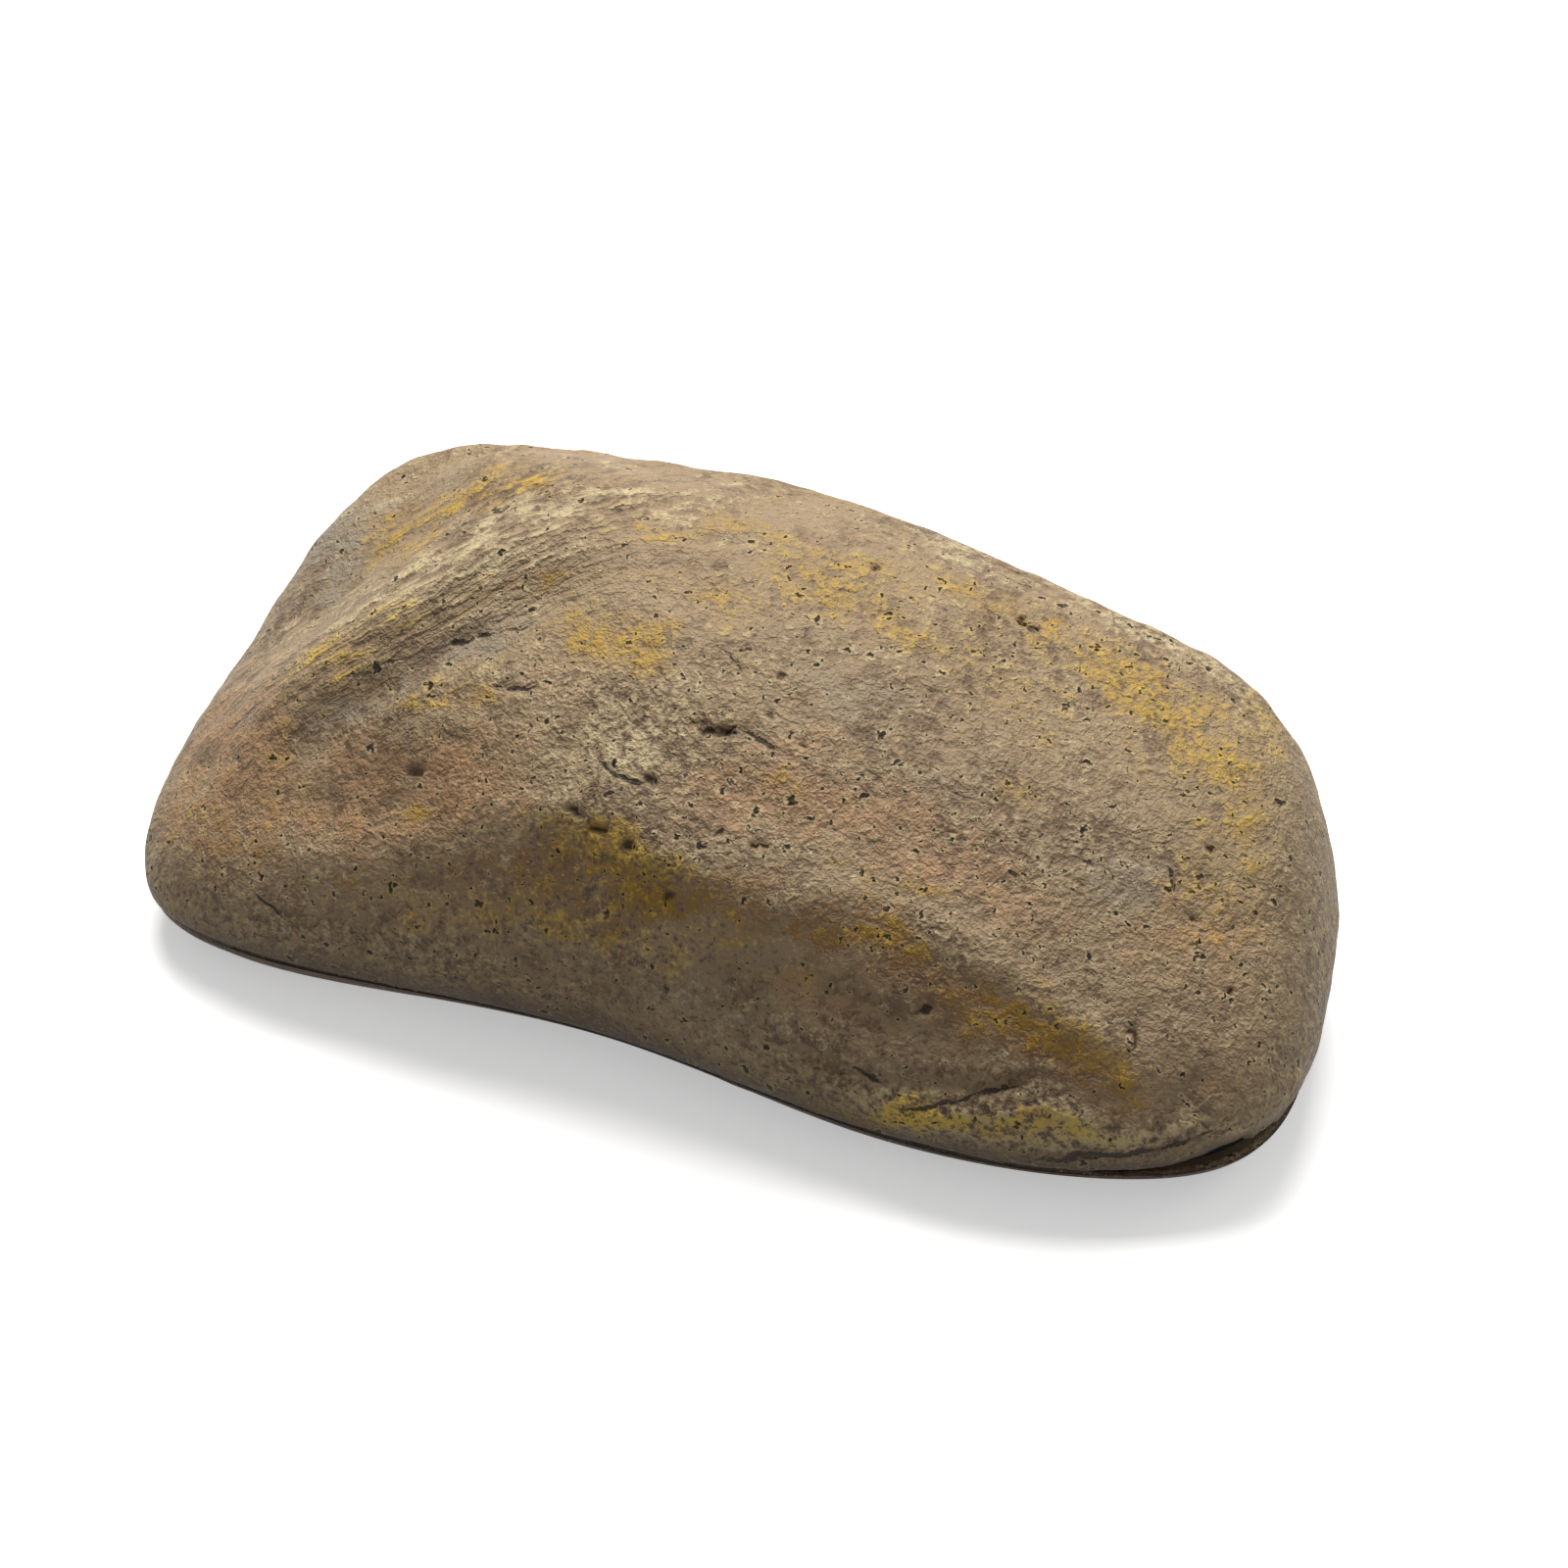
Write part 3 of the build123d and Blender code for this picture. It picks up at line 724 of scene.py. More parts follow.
DABS: dict[Pigment, tuple[Spot, ...]] = {
    Pigment.OCHRE: spots(
        (505, 500, 62, 17, -17, 0.8), (420, 535, 70, 20, -28, 0.75),
        (370, 655, 80, 16, -33, 0.45), (620, 655, 58, 30, 12, 1.0), (660, 650, 26, 26, 0, 0.9),
        (620, 585, 90, 14, -8, 0.5), (730, 535, 90, 18, 4, 0.6), (790, 560, 70, 18, 14, 0.55),
        (835, 608, 66, 18, 14, 0.75), (740, 610, 55, 22, 20, 0.5), (915, 640, 34, 16, 35, 0.7),
        (890, 580, 40, 18, 20, 0.6), (1000, 600, 60, 16, 22, 0.55), (1066, 632, 14, 12, 0, 1.0),
        (1095, 660, 46, 20, 30, 0.6), (1162, 697, 48, 26, 18, 1.0),
        (1215, 745, 46, 28, 45, 0.85), (1255, 785, 40, 26, 30, 0.9),
        (1180, 760, 46, 40, 30, 0.4), (1290, 740, 26, 46, -20, 0.5),
        (1250, 870, 50, 60, 30, 0.35), (1040, 720, 70, 40, 30, 0.4), (1050, 810, 30, 20, 0, 0.5),
        (620, 862, 62, 22, 18, 1.0), (632, 866, 40, 16, 18, 1.0), (655, 890, 46, 30, 30, 1.0),
        (600, 880, 46, 26, 10, 0.7), (690, 925, 46, 18, 20, 0.75), (765, 955, 60, 12, -8, 0.65),
        (850, 888, 26, 8, 0, 0.7), (935, 912, 44, 12, 8, 0.75), (885, 958, 58, 15, 12, 0.8),
        (940, 985, 56, 16, 30, 0.7), (1005, 1040, 54, 16, 25, 0.7),
        (1075, 1062, 60, 22, 28, 0.95), (1130, 1080, 44, 20, 32, 1.0),
        (1110, 1072, 54, 14, 32, 1.0), (1075, 1020, 40, 9, 32, 0.7), (412, 835, 17, 11, 10, 1.0),
        (440, 714, 56, 8, -4, 0.85), (470, 690, 40, 12, -10, 0.4), (430, 755, 60, 18, -5, 0.4),
        (790, 795, 24, 16, 0, 0.5), (900, 1135, 80, 14, 8, 0.6), (1040, 1150, 120, 14, 4, 0.5),
        (560, 930, 140, 26, 10, 0.5), (760, 990, 90, 16, 8, 0.5), (1230, 900, 60, 70, 20, 0.4),
        (960, 640, 90, 40, 20, 0.4), (300, 740, 40, 90, 38, 0.35), (470, 935, 120, 22, 8, 0.3),
        (240, 850, 60, 50, -20, 0.42), (330, 830, 50, 30, 0, 0.3),
    ),
    Pigment.RUST: spots(
        (600, 905, 120, 40, 8, 0.8), (722, 736, 40, 14, 5, 0.9), (790, 800, 60, 20, 20, 0.35),
        (720, 920, 110, 32, 12, 0.9), (480, 890, 90, 36, 0, 0.55), (850, 950, 110, 36, 14, 0.9),
        (960, 1010, 80, 30, 30, 0.9), (1080, 1080, 100, 34, 28, 1.0),
        (560, 800, 60, 40, 0, 0.35), (330, 890, 110, 40, 5, 0.5), (220, 870, 60, 60, 0, 0.6),
        (300, 690, 120, 18, -35, 0.4), (1240, 1090, 60, 40, -20, 0.3),
    ),
    # Pale paint, and a painted highlight on the left ridge and along the lit edges.
    Pigment.PALE: spots(
        (640, 740, 100, 52, 0, 0.55), (610, 800, 60, 36, 0, 0.45), (640, 508, 120, 12, -3, 0.7),
        (480, 570, 130, 34, -28, 0.7), (330, 660, 110, 34, -35, 0.6),
        (400, 495, 90, 16, -28, 0.6), (560, 464, 120, 9, 0, 0.5), (960, 545, 130, 14, 22, 0.75),
        (1170, 640, 110, 14, 28, 0.75), (1290, 740, 30, 70, -30, 0.6),
        (1340, 950, 14, 120, 0, 0.4), (1100, 1160, 170, 16, 0, 0.8),
        (930, 1140, 90, 16, 12, 0.7), (960, 955, 36, 12, 20, 0.45),
    ),
    Pigment.GREY: spots(
        (330, 560, 50, 80, 25, 0.9), (440, 490, 60, 14, -25, 0.5), (520, 640, 120, 20, -20, 0.6),
        (380, 730, 110, 24, -35, 0.8), (650, 560, 60, 14, 0, 0.4), (870, 710, 60, 40, 0, 0.7),
        (960, 790, 60, 26, 10, 0.5), (1150, 900, 60, 36, 0, 0.8), (1080, 850, 60, 30, 0, 0.5),
        (780, 1040, 130, 26, 14, 0.5), (600, 985, 150, 22, 10, 0.5), (700, 470, 120, 14, 5, 0.5),
    ),
    Pigment.BLUSH: spots(
        (450, 800, 120, 60, 0, 0.9), (250, 760, 60, 90, 35, 0.8), (300, 850, 110, 40, 0, 0.7),
        (560, 700, 70, 50, 0, 0.5), (740, 800, 70, 40, 0, 0.7), (540, 590, 60, 16, -20, 0.5),
        (860, 830, 110, 50, 10, 0.8), (1000, 900, 110, 50, 20, 0.7), (1230, 960, 90, 80, 0, 0.6),
        (900, 740, 80, 40, 0, 0.4), (850, 1010, 110, 26, 15, 0.6), (370, 620, 70, 16, -30, 0.4),
        (1180, 1100, 60, 30, 0, 0.5),
    ),
    Pigment.PITTING: spots(
        (640, 760, 110, 70, 0, 1.0), (720, 732, 40, 16, 5, 1.0), (740, 850, 60, 30, 0, 1.0),
        (520, 690, 60, 24, 0, 0.8), (500, 800, 60, 50, 0, 0.8), (250, 880, 90, 40, 0, 0.8),
        (780, 820, 120, 60, 0, 0.9), (1050, 880, 200, 90, 10, 0.6),
        (1180, 720, 120, 70, 20, 0.7), (950, 640, 150, 70, 15, 0.5), (500, 860, 120, 40, 0, 0.6),
        (1280, 960, 60, 110, 0, 0.8), (1050, 1130, 150, 30, 0, 0.6),
    ),
}


@dataclass(frozen=True)
class PaintMap:
    """How much of each pigment lies on the stone. The photographed side has its dabs where
    the photograph shows them, and the hidden sides have blotches of the same kinds."""

    view: Viewpoint

    # On hidden sides: lattice seed, blotch size in millimetres, and the noise values
    # between which a blotch rises to full strength.
    hidden = {
        Pigment.OCHRE: (101, 17.0, 0.1, 0.85),
        Pigment.RUST: (131, 24.0, 0.0, 0.9),
        Pigment.PALE: (151, 20.0, 0.1, 0.9),
        Pigment.GREY: (171, 28.0, -0.1, 0.8),
        Pigment.BLUSH: (191, 26.0, -0.1, 0.9),
        Pigment.PITTING: (211, 18.0, -0.4, 0.6),
    }

    def masks(self, points: Floats, normals: Floats) -> dict[str, Floats]:
        """Share of each pigment at each point.

        Args:
            points: Points in millimetres.
            normals: Outward directions.

        Returns:
            A share from 0 to 1 for each pigment's name.
        """
        seen, facing = self.view.project(points), self.view.facing(points, normals)
        for axis, seed in enumerate((401, 433)):
            stray = 24 * Lattice(seed).layered(points, 7.0, 3)
            seen[:, axis] += stray
        masks = {}
        for pigment in Pigment:
            clear = np.ones(len(points))
            for dab in DABS[pigment]:
                clear *= 1 - np.clip(dab.share(seen, 1.9), 0, 1)
            seed, size, low, high = self.hidden[pigment]
            blotches = 0.8 * ease(Lattice(seed).layered(points, size, 3), low, high)
            masks[pigment.value] = facing * (1 - clear) + (1 - facing) * blotches
        return masks


# ---- Meshes ------------------------------------------------------------------------------------


def grid_quads(rows: int, columns: int, closed: bool) -> NDArray[np.int64]:
    """Quads between the points of a grid, row after row.

    Args:
        rows: Rows of points.
        columns: Points in a row.
        closed: Whether a row's last point joins its first.

    Returns:
        Corner indices, one quad a row.
    """
    row = np.arange(rows - 1)[:, None] * columns
    here = np.arange(columns if closed else columns - 1)[None, :]
    after = (here + 1) % columns
    quads = [row + here, row + after, row + columns + after, row + columns + here]
    return np.stack([np.broadcast_to(q, (rows - 1, here.size)).ravel() for q in quads], 1)


def vertex_normals(points: Floats, quads: NDArray[np.int64]) -> Floats:
    """Outward directions at the points: the cross products of the quads' diagonals, added
    up at their corners.

    Args:
        points: Points, one a row.
        quads: Corner indices, one quad a row.

    Returns:
        Unit directions, one a row.
    """
    a, b, c, d = (points[quads[:, corner]] for corner in range(4))
    faces = np.cross(c - a, d - b)
    normals = np.zeros_like(points)
    for corner in range(4):
        np.add.at(normals, quads[:, corner], faces)
    return normals / np.maximum(np.linalg.norm(normals, axis=1, keepdims=True), 1e-12)


def new_piece(
    name: str,
    points: Floats,
    faces: Sequence[Sequence[int]],
    masks: dict[str, Floats] | None = None,
) -> bpy.types.Object:
    """A smooth-shaded object from points in millimetres.

    Args:
        name: The piece's name.
        points: Points in millimetres, one a row.
        faces: Corner indices of each face.
        masks: Values to keep at the points, by name.

    Returns:
        The new object, linked to the scene.
    """
    mesh = bpy.data.meshes.new(name)
    mesh.from_pydata((points * MM).tolist(), [], faces)
    mesh.polygons.foreach_set("use_smooth", np.ones(len(mesh.polygons), bool))
    for mask, values in (masks or {}).items():
        layer = mesh.attributes.new(mask, "FLOAT", "POINT")
        layer.data.foreach_set("value", np.asarray(values, np.float32))
    mesh.update()
    piece = bpy.data.objects.new(name, mesh)
    bpy.context.scene.collection.objects.link(piece)
    LOG.info("%s: %d points, %d faces", name, len(points), len(mesh.polygons))
    return piece


# ---- Shaders -----------------------------------------------------------------------------------


class Signal:
    """A shader's socket that takes part in Python expressions, which add Math nodes."""

    def __init__(self, sheet: "Sheet", socket: bpy.types.NodeSocket) -> None:
        """Wraps a socket of a sheet."""
        self.sheet = sheet
        self.socket = socket

    def __add__(self, other: "Signal | float") -> "Signal":
        """Sum."""
        return self.sheet.math("ADD", self, other)

    __radd__ = __add__

    def __sub__(self, other: "Signal | float") -> "Signal":
        """Difference."""
        return self.sheet.math("SUBTRACT", self, other)

    def __rsub__(self, other: float) -> "Signal":
        """Difference from a number."""
        return self.sheet.math("SUBTRACT", other, self)

    def __mul__(self, other: "Signal | float") -> "Signal":
        """Product."""
        return self.sheet.math("MULTIPLY", self, other)

    __rmul__ = __mul__

    def __truediv__(self, other: "Signal | float") -> "Signal":
        """Quotient."""
        return self.sheet.math("DIVIDE", self, other)

    def __rtruediv__(self, other: float) -> "Signal":
        """A number over this."""
        return self.sheet.math("DIVIDE", other, self)

    def __abs__(self) -> "Signal":
        """Size without sign."""
        return self.sheet.math("ABSOLUTE", self)

    def most(self, other: "Signal | float") -> "Signal":
        """The larger of this and another."""
        return self.sheet.math("MAXIMUM", self, other)

    def least(self, other: "Signal | float") -> "Signal":
        """The smaller of this and another."""
        return self.sheet.math("MINIMUM", self, other)

    def rise(self, low: float, high: float) -> "Signal":
        """Smooth step from 0 at low to 1 at high.

        Args:
            low: Where it starts. It may lie above high, and then the step falls.
            high: Where it ends.

        Returns:
            The eased value.
        """
        turned = low > high
        node = self.sheet.node(
            "ShaderNodeMapRange",
            {"interpolation_type": "SMOOTHSTEP"},
            {"Value": self, "From Min": min(low, high), "From Max": max(low, high)},
        )
        step = Signal(self.sheet, node.outputs["Result"])
        return 1 - step if turned else step


class Sheet:
    """One material's nodes."""

    def __init__(self, name: str) -> None:
        """Starts an empty material of that name."""
        self.material = bpy.data.materials.new(name)
        self.material.use_nodes = True
        self.tree = self.material.node_tree
        self.tree.nodes.clear()

    def node(
        self, kind: str, settings: dict[str, Any], sockets: dict[str | int, Any]
    ) -> bpy.types.Node:
        """A node with its settings first and then its sockets.

        Args:
            kind: Blender's name for the type of node.
            settings: Properties of the node.
            sockets: A number, colour or signal for each input, by name or index.

        Returns:
            The node.
        """
        node = self.tree.nodes.new(kind)
        for key, value in settings.items():
            setattr(node, key, value)
        for key, value in sockets.items():
            if isinstance(key, int):
                socket = node.inputs[key]
            else:
                socket = next(s for s in node.inputs if key in (s.identifier, s.name))
            if isinstance(value, Signal):
                self.tree.links.new(value.socket, socket)
            elif isinstance(value, tuple) and socket.type == "RGBA":
                socket.default_value = (*value, 1.0)
            else:
                socket.default_value = value
        return node

    def math(self, operation: str, *values: Signal | float) -> Signal:
        """A Math node on values."""
        node = self.node("ShaderNodeMath", {"operation": operation}, dict(enumerate(values)))
        return Signal(self, node.outputs[0])

    def vector(self, operation: str, *values: Any, scale: float = 1.0) -> Signal:
        """A Vector Math node on vectors.

        Args:
            operation: Blender's name for the sum.
            values: Signals or tuples.
            scale: The factor of a SCALE.

        Returns:
            The vector.
        """
        sockets: dict[str | int, Any] = dict(enumerate(values))
        if operation == "SCALE":
            sockets["Scale"] = scale
        node = self.node("ShaderNodeVectorMath", {"operation": operation}, sockets)
        return Signal(self, node.outputs["Vector"])

    def mix(self, share: Signal | float, under: Any, over: Any) -> Signal:
        """Two colours laid over each other.

        Args:
            share: How much of the upper colour shows.
            under: The lower colour.
            over: The upper colour.

        Returns:
            The mixed colour.
        """
        node = self.node(
            "ShaderNodeMix",
            {"data_type": "RGBA"},
            {"Factor_Float": share, "A_Color": under, "B_Color": over},
        )
        return Signal(self, next(o for o in node.outputs if o.identifier == "Result_Color"))

    def millimetres(self) -> Signal:
        """The object's own coordinates in millimetres."""
        node = self.node("ShaderNodeTexCoord", {}, {})
        return self.vector("SCALE", Signal(self, node.outputs["Object"]), scale=1000.0)

    def mask(self, name: str) -> Signal:
        """A value kept at the mesh's points."""
        node = self.node("ShaderNodeAttribute", {"attribute_name": name}, {})
        return Signal(self, node.outputs["Fac"])

    def noise(
        self, where: Signal, size: float, detail: float = 2.0, roughness: float = 0.55
    ) -> Signal:
        """Noise from 0 to 1.

        Args:
            where: Coordinates in millimetres.
            size: Size of its coarsest features, in millimetres.
            detail: Layers of finer noise on top.
            roughness: How strong each finer layer is.

        Returns:
            The noise.
        """
        sockets = {"Vector": where, "Scale": 1 / size, "Detail": detail, "Roughness": roughness}
        node = self.node("ShaderNodeTexNoise", {"noise_dimensions": "3D"}, sockets)
        return Signal(self, node.outputs["Fac"])

    def swing(
        self, where: Signal, size: float, detail: float, roughness: float = 0.6
    ) -> Signal:
        """The same noise, spread to swing about 0 with most values between -1 and 1."""
        return 4 * self.noise(where, size, detail, roughness) - 2

    def shake(self, where: Signal, size: float, amount: float) -> Signal:
        """Coordinates pushed about by noise.

        Args:
            where: Coordinates in millimetres.
            size: Size of the noise's features.
            amount: How far a point is pushed at most, about, in millimetres.

        Returns:
            The pushed coordinates.
        """
        sockets = {"Vector": where, "Scale": 1 / size, "Detail": 2.0}
        node = self.node("ShaderNodeTexNoise", {"noise_dimensions": "3D"}, sockets)
        colour = Signal(self, node.outputs["Color"])
        push = self.vector("SUBTRACT", colour, (0.5, 0.5, 0.5))
        return self.vector("ADD", where, self.vector("SCALE", push, scale=2 * amount))

    def pits(self, where: Signal, cell: float, radius: float, share: Signal | float) -> Signal:
        """Distance from holes scattered one to a Voronoi cell, in each hole's own radius.

        Args:
            where: Coordinates in millimetres.
            cell: Size of a cell in millimetres.
            radius: Radius of the largest pits in millimetres.
            share: Share of the cells that have a pit.

        Returns:
            0 at a hole's centre, 1 at its edge, and far above 1 in cells without one.
        """
        sockets = {"Vector": where, "Scale": 1 / cell, "Randomness": 1.0}
        node = self.node("ShaderNodeTexVoronoi", {"feature": "F1"}, sockets)
        tone = self.node("ShaderNodeSeparateColor", {}, {0: Signal(self, node.outputs["Color"])})
        chance, size = (Signal(self, tone.outputs[index]) for index in (0, 1))
        reach = Signal(self, node.outputs["Distance"]) * cell / ((0.35 + 0.65 * size) * radius)
        return reach + 9 * (chance - share).rise(-0.02, 0.02)

    def bump(self, height: Signal) -> Signal:
        """A normal from a height in millimetres."""
        sockets = {"Height": height, "Strength": 1.0, "Distance": MM}
        return Signal(self, self.node("ShaderNodeBump", {}, sockets).outputs["Normal"])

    def finish(self, **sockets: Any) -> bpy.types.Material:
        """Closes the sheet with a Principled shader.

        Args:
            sockets: Its inputs, with _ for the spaces in their names.

        Returns:
            The material.
        """
        values = {key.replace("_", " "): value for key, value in sockets.items()}
        shader = self.node("ShaderNodeBsdfPrincipled", {}, values)
        surface = Signal(self, shader.outputs["BSDF"])
        self.node("ShaderNodeOutputMaterial", {}, {"Surface": surface})
        return self.material


@dataclass(frozen=True)
class PaintedStone:
    """Cast resin painted as stone: a taupe base, dabbed and dry-brushed, pitted and worn."""

    taupe: Colour = paint(148, 126, 96)
    umber: Colour = paint(110, 88, 64)
    blush: Colour = paint(168, 129, 92)
    grey: Colour = paint(132, 123, 107)
    pale: Colour = paint(172, 155, 122)
    cream: Colour = paint(220, 202, 156)
    ochre: Colour = paint(172, 138, 54)
    bright: Colour = paint(222, 188, 84)
    deep_ochre: Colour = paint(144, 110, 28)
    rust: Colour = paint(118, 80, 36)
    # Dark brown of the fine specks, and of painted shade in pits, cracks, recesses and underneath.
    speck_and_shade: Colour = paint(54, 40, 30)
    # Darkest brown, for painted shade at the pits' centres, in deep recesses and in cracks.
    deep_brown: Colour = paint(30, 22, 17)
    # Sizes of the noises' coarsest features, in millimetres.
    cloud_size: float = 14.0
    clump_size: float = 6.0
    mottle_size: float = 2.6
    grain_size: float = 0.95
    speck_size: float = 0.42
    thread_size: float = 0.75
    thread_stretch: float = 7.0  # how much longer than wide a combed thread is
    wide_pits: tuple[float, float] = (2.6, 0.6)  # cell and largest radius, in millimetres
    small_pits: tuple[float, float] = (1.2, 0.32)

    def material(self) -> bpy.types.Material:
        """Builds the material.

        Base: two browns in cloudy noise. A pigment lies where its mask and two coarse
        noises pass a smooth step, and a finer noise breaks it into threads and specks.
        Pits and cracks are sunk and darkened by painted shade, and their pale rims are a
        painted highlight. Painted shade also lies in recesses and on faces turned down, and
        steep faces get painted shade and painted highlights in their specks.

        Returns:
            The material.
        """
        sheet = Sheet("painted_stone")
        place = sheet.millimetres()
        warped, jostled = sheet.shake(place, 3.0, 1.6), sheet.shake(place, 1.2, 0.7)
        cloud = sheet.swing(place, self.cloud_size, 4.0, 0.55)
        clump = sheet.swing(warped, self.clump_size, 3.0)
        mottle = sheet.swing(warped, self.mottle_size, 3.0)
        grain = sheet.swing(jostled, self.grain_size, 2.0)
        speck = sheet.swing(place, self.speck_size, 2.0)
        combed = sheet.node(
            "ShaderNodeCombineXYZ",
            {},
            {
                0: sheet.mask("across") + 0.12 * grain + 0.22 * mottle,
                1: sheet.mask("along") / self.thread_stretch,
            },
        )
        combing = sheet.mask("combing")
        threads = sheet.noise(Signal(sheet, combed.outputs[0]), self.thread_size, 2.0, 0.6)
        lines = (5 * threads - 2.5) * combing
        coarse = 0.6 * clump + 0.55 * mottle + 0.7 * lines
        fine = 1.05 * grain * (1 - 0.5 * combing) + 0.5 * speck + 1.1 * lines

        def layer(under: Any, over: Any, mask: str, broken: float, most: float) -> Signal:
            """One pigment over another colour, cut from its mask and the noises."""
            share = 1.25 * sheet.mask(mask) - 0.6 + 0.95 * broken * coarse
            torn = 1 - broken * (1 - (fine + 0.4 * share).rise(-0.5, 0.8))
            return sheet.mix(share.rise(-0.2, 0.65) * torn * most, under, over)

        base = sheet.mix((cloud + 0.5 * mottle).rise(-0.7, 0.5), self.umber, self.taupe)
        base = sheet.mix((mottle + 0.7 * grain).rise(-0.5, 0.3) * 0.75, base, self.taupe)
        base = layer(base, self.grey, "grey", 0.5, 0.9)
        base = layer(base, self.blush, "blush", 0.55, 0.9)
        base = layer(base, self.rust, "rust", 0.8, 0.9)
        base = layer(base, self.pale, "pale", 0.7, 0.9)
        ochres = sheet.mix(
            (1.2 * sheet.mask("rust") - 0.6 * mottle - 0.5 * fine).rise(-0.3, 0.9),
            self.ochre,
            self.deep_ochre,
        )
        base = layer(base, ochres, "ochre", 0.8, 0.88)
        # Pale tops on grain, raised places and pale dabs, partly a painted highlight.
        light = fine + 0.9 * sheet.mask("crest") + 0.55 * sheet.mask("pale")
        yellow = (sheet.mask("ochre") * 1.4 + 0.4 * coarse).rise(0.1, 0.8)
        tops = sheet.mix(yellow, self.cream, self.bright)
        smooth = sheet.mask("grey").most(sheet.mask("blush")) - sheet.mask("pitting")
        # Steep faces get more pale tops and more dark specks: painted highlight and painted shade.
        steep = sheet.mask("steep")
        light = (light - 0.3 * smooth + 0.35 * steep).rise(0.25, 1.5)
        base = sheet.mix(light * (0.45 + 0.15 * steep + 0.25 * yellow * steep), base, tops)
        low = (-0.25 - 0.2 * smooth + 0.3 * steep - fine).rise(0.0, 1.1)
        low = low * (0.52 + 0.36 * steep)
        base = sheet.mix(low, base, self.speck_and_shade)
        # Painted shade on faces turned down and towards the foot.
        base = sheet.mix((sheet.mask("underside_shade") + 0.15 * fine).rise(0.0, 1.0), base, self.speck_and_shade)

        pitting = sheet.mask("pitting") + 0.5 * clump
        wide = sheet.pits(sheet.shake(place, 1.1, 1.2), *self.wide_pits, 0.36 + 0.5 * pitting)
        small = sheet.pits(sheet.shake(place, 0.7, 0.7), *self.small_pits, 0.5 + 0.6 * pitting)
        near = wide.least(small)
        pits, rims = near.rise(1.05, 0.6), near.rise(1.9, 1.15)
        ragged = 0.16 * grain + 0.12 * speck
        half = sheet.mask("crack_half") * (0.6 + 0.8 * mottle + 0.5 * grain).most(0.0)
        crack = (abs(sheet.mask("crack_side") + ragged) - half).rise(0.1, -0.04)
        crack = crack * half.rise(0.03, 0.14)
        # Painted shade in recesses and dents, broken up by noise; it also sinks them a little.
        hollow = (sheet.mask("hollow") + 0.3 * grain + 0.2 * mottle + 0.1 * speck).rise(0.4, 1.1)
        # Painted shade in pits, cracks and recesses.
        base = sheet.mix((pits * 0.9).most(crack * 0.9).most(hollow * 0.8), base, self.speck_and_shade)
        # Painted highlight: pale rims round the pits.
        base = sheet.mix(rims * (1 - pits) * 0.3, base, tops)
        # Deepest painted shade at the pits' centres, in deep recesses and in cracks.
        dark = near.rise(0.85, 0.4) * 0.85 + hollow.rise(0.7, 1.2) * 0.6 + crack * 0.5
        base = sheet.mix(dark, base, self.deep_brown)

        height = 0.14 * grain + 0.05 * speck + 0.13 * mottle + 0.2 * lines
        height = height - 0.4 * pits - 0.35 * crack - 0.25 * hollow
        rough = 0.62 + 0.05 * grain + 0.04 * mottle + 0.2 * pits
        return sheet.finish(
            Base_Color=base,
            Roughness=rough,
            Specular_IOR_Level=0.35,
            Normal=sheet.bump(height),
        )


@dataclass(frozen=True)
class CastResin:
    """Unpainted underside of the cast slab: brown resin, cloudy, with pinholes and swirls."""

    body: Colour = paint(98, 82, 66)
    cloud: Colour = paint(122, 104, 84)
    # Dark brown of the darker grain, and of painted shade in the pinholes.
    deep_brown: Colour = paint(48, 39, 33)

    def material(self) -> bpy.types.Material:
        """Builds the material.

        Returns:
            The material.
        """
        sheet = Sheet("cast_resin")
        place = sheet.millimetres()
        swirl = sheet.noise(sheet.shake(place, 20.0, 9.0), 7.0, 5.0, 0.6)
        grain = sheet.noise(place, 0.5, 4.0, 0.6)
        holes = sheet.pits(sheet.shake(place, 0.9, 0.2), 2.6, 0.3, 0.3).rise(1.1, 0.55)
        colour = sheet.mix(swirl.rise(0.35, 0.7), self.body, self.cloud)
        colour = sheet.mix((0.5 - grain).rise(0.0, 0.2) * 0.35, colour, self.deep_brown)
        # Painted shade in the pinholes.
        colour = sheet.mix(holes * 0.8, colour, self.deep_brown)
        height = 0.05 * grain + 0.12 * swirl - 0.3 * holes
        return sheet.finish(
            Base_Color=colour,
            Roughness=0.72 + 0.2 * (grain - 0.5),
            Specular_IOR_Level=0.4,
            Normal=sheet.bump(height),
        )


@dataclass(frozen=True)
class MouldedPlastic:
    """Spark-textured moulded plastic: even colour, fine grain, handling marks."""

    name: str
    body: Colour
    scuff: Colour
    roughness: float = 0.52

    def material(self) -> bpy.types.Material:
        """Builds the material.

        Returns:
            The material.
        """
        sheet = Sheet(self.name)
        place = sheet.millimetres()
        spark = sheet.noise(place, 0.22, 3.0, 0.6)
        haze = sheet.noise(place, 9.0, 4.0, 0.6)
        scratch = sheet.noise(sheet.vector("MULTIPLY", place, (0.12, 2.2, 1.0)), 0.8, 3.0)
        rubbed = (haze + 0.5 * scratch).rise(0.78, 1.0)
        colour = sheet.mix(rubbed * 0.45, self.body, self.scuff)
        colour = sheet.mix((spark - 0.5).rise(0.05, 0.3) * 0.12, colour, self.scuff)
        return sheet.finish(
            Base_Color=colour,
            Roughness=self.roughness + 0.18 * (haze - 0.5) + 0.12 * rubbed,
            Specular_IOR_Level=0.5,
            Normal=sheet.bump(0.03 * spark + 0.012 * scratch),
        )


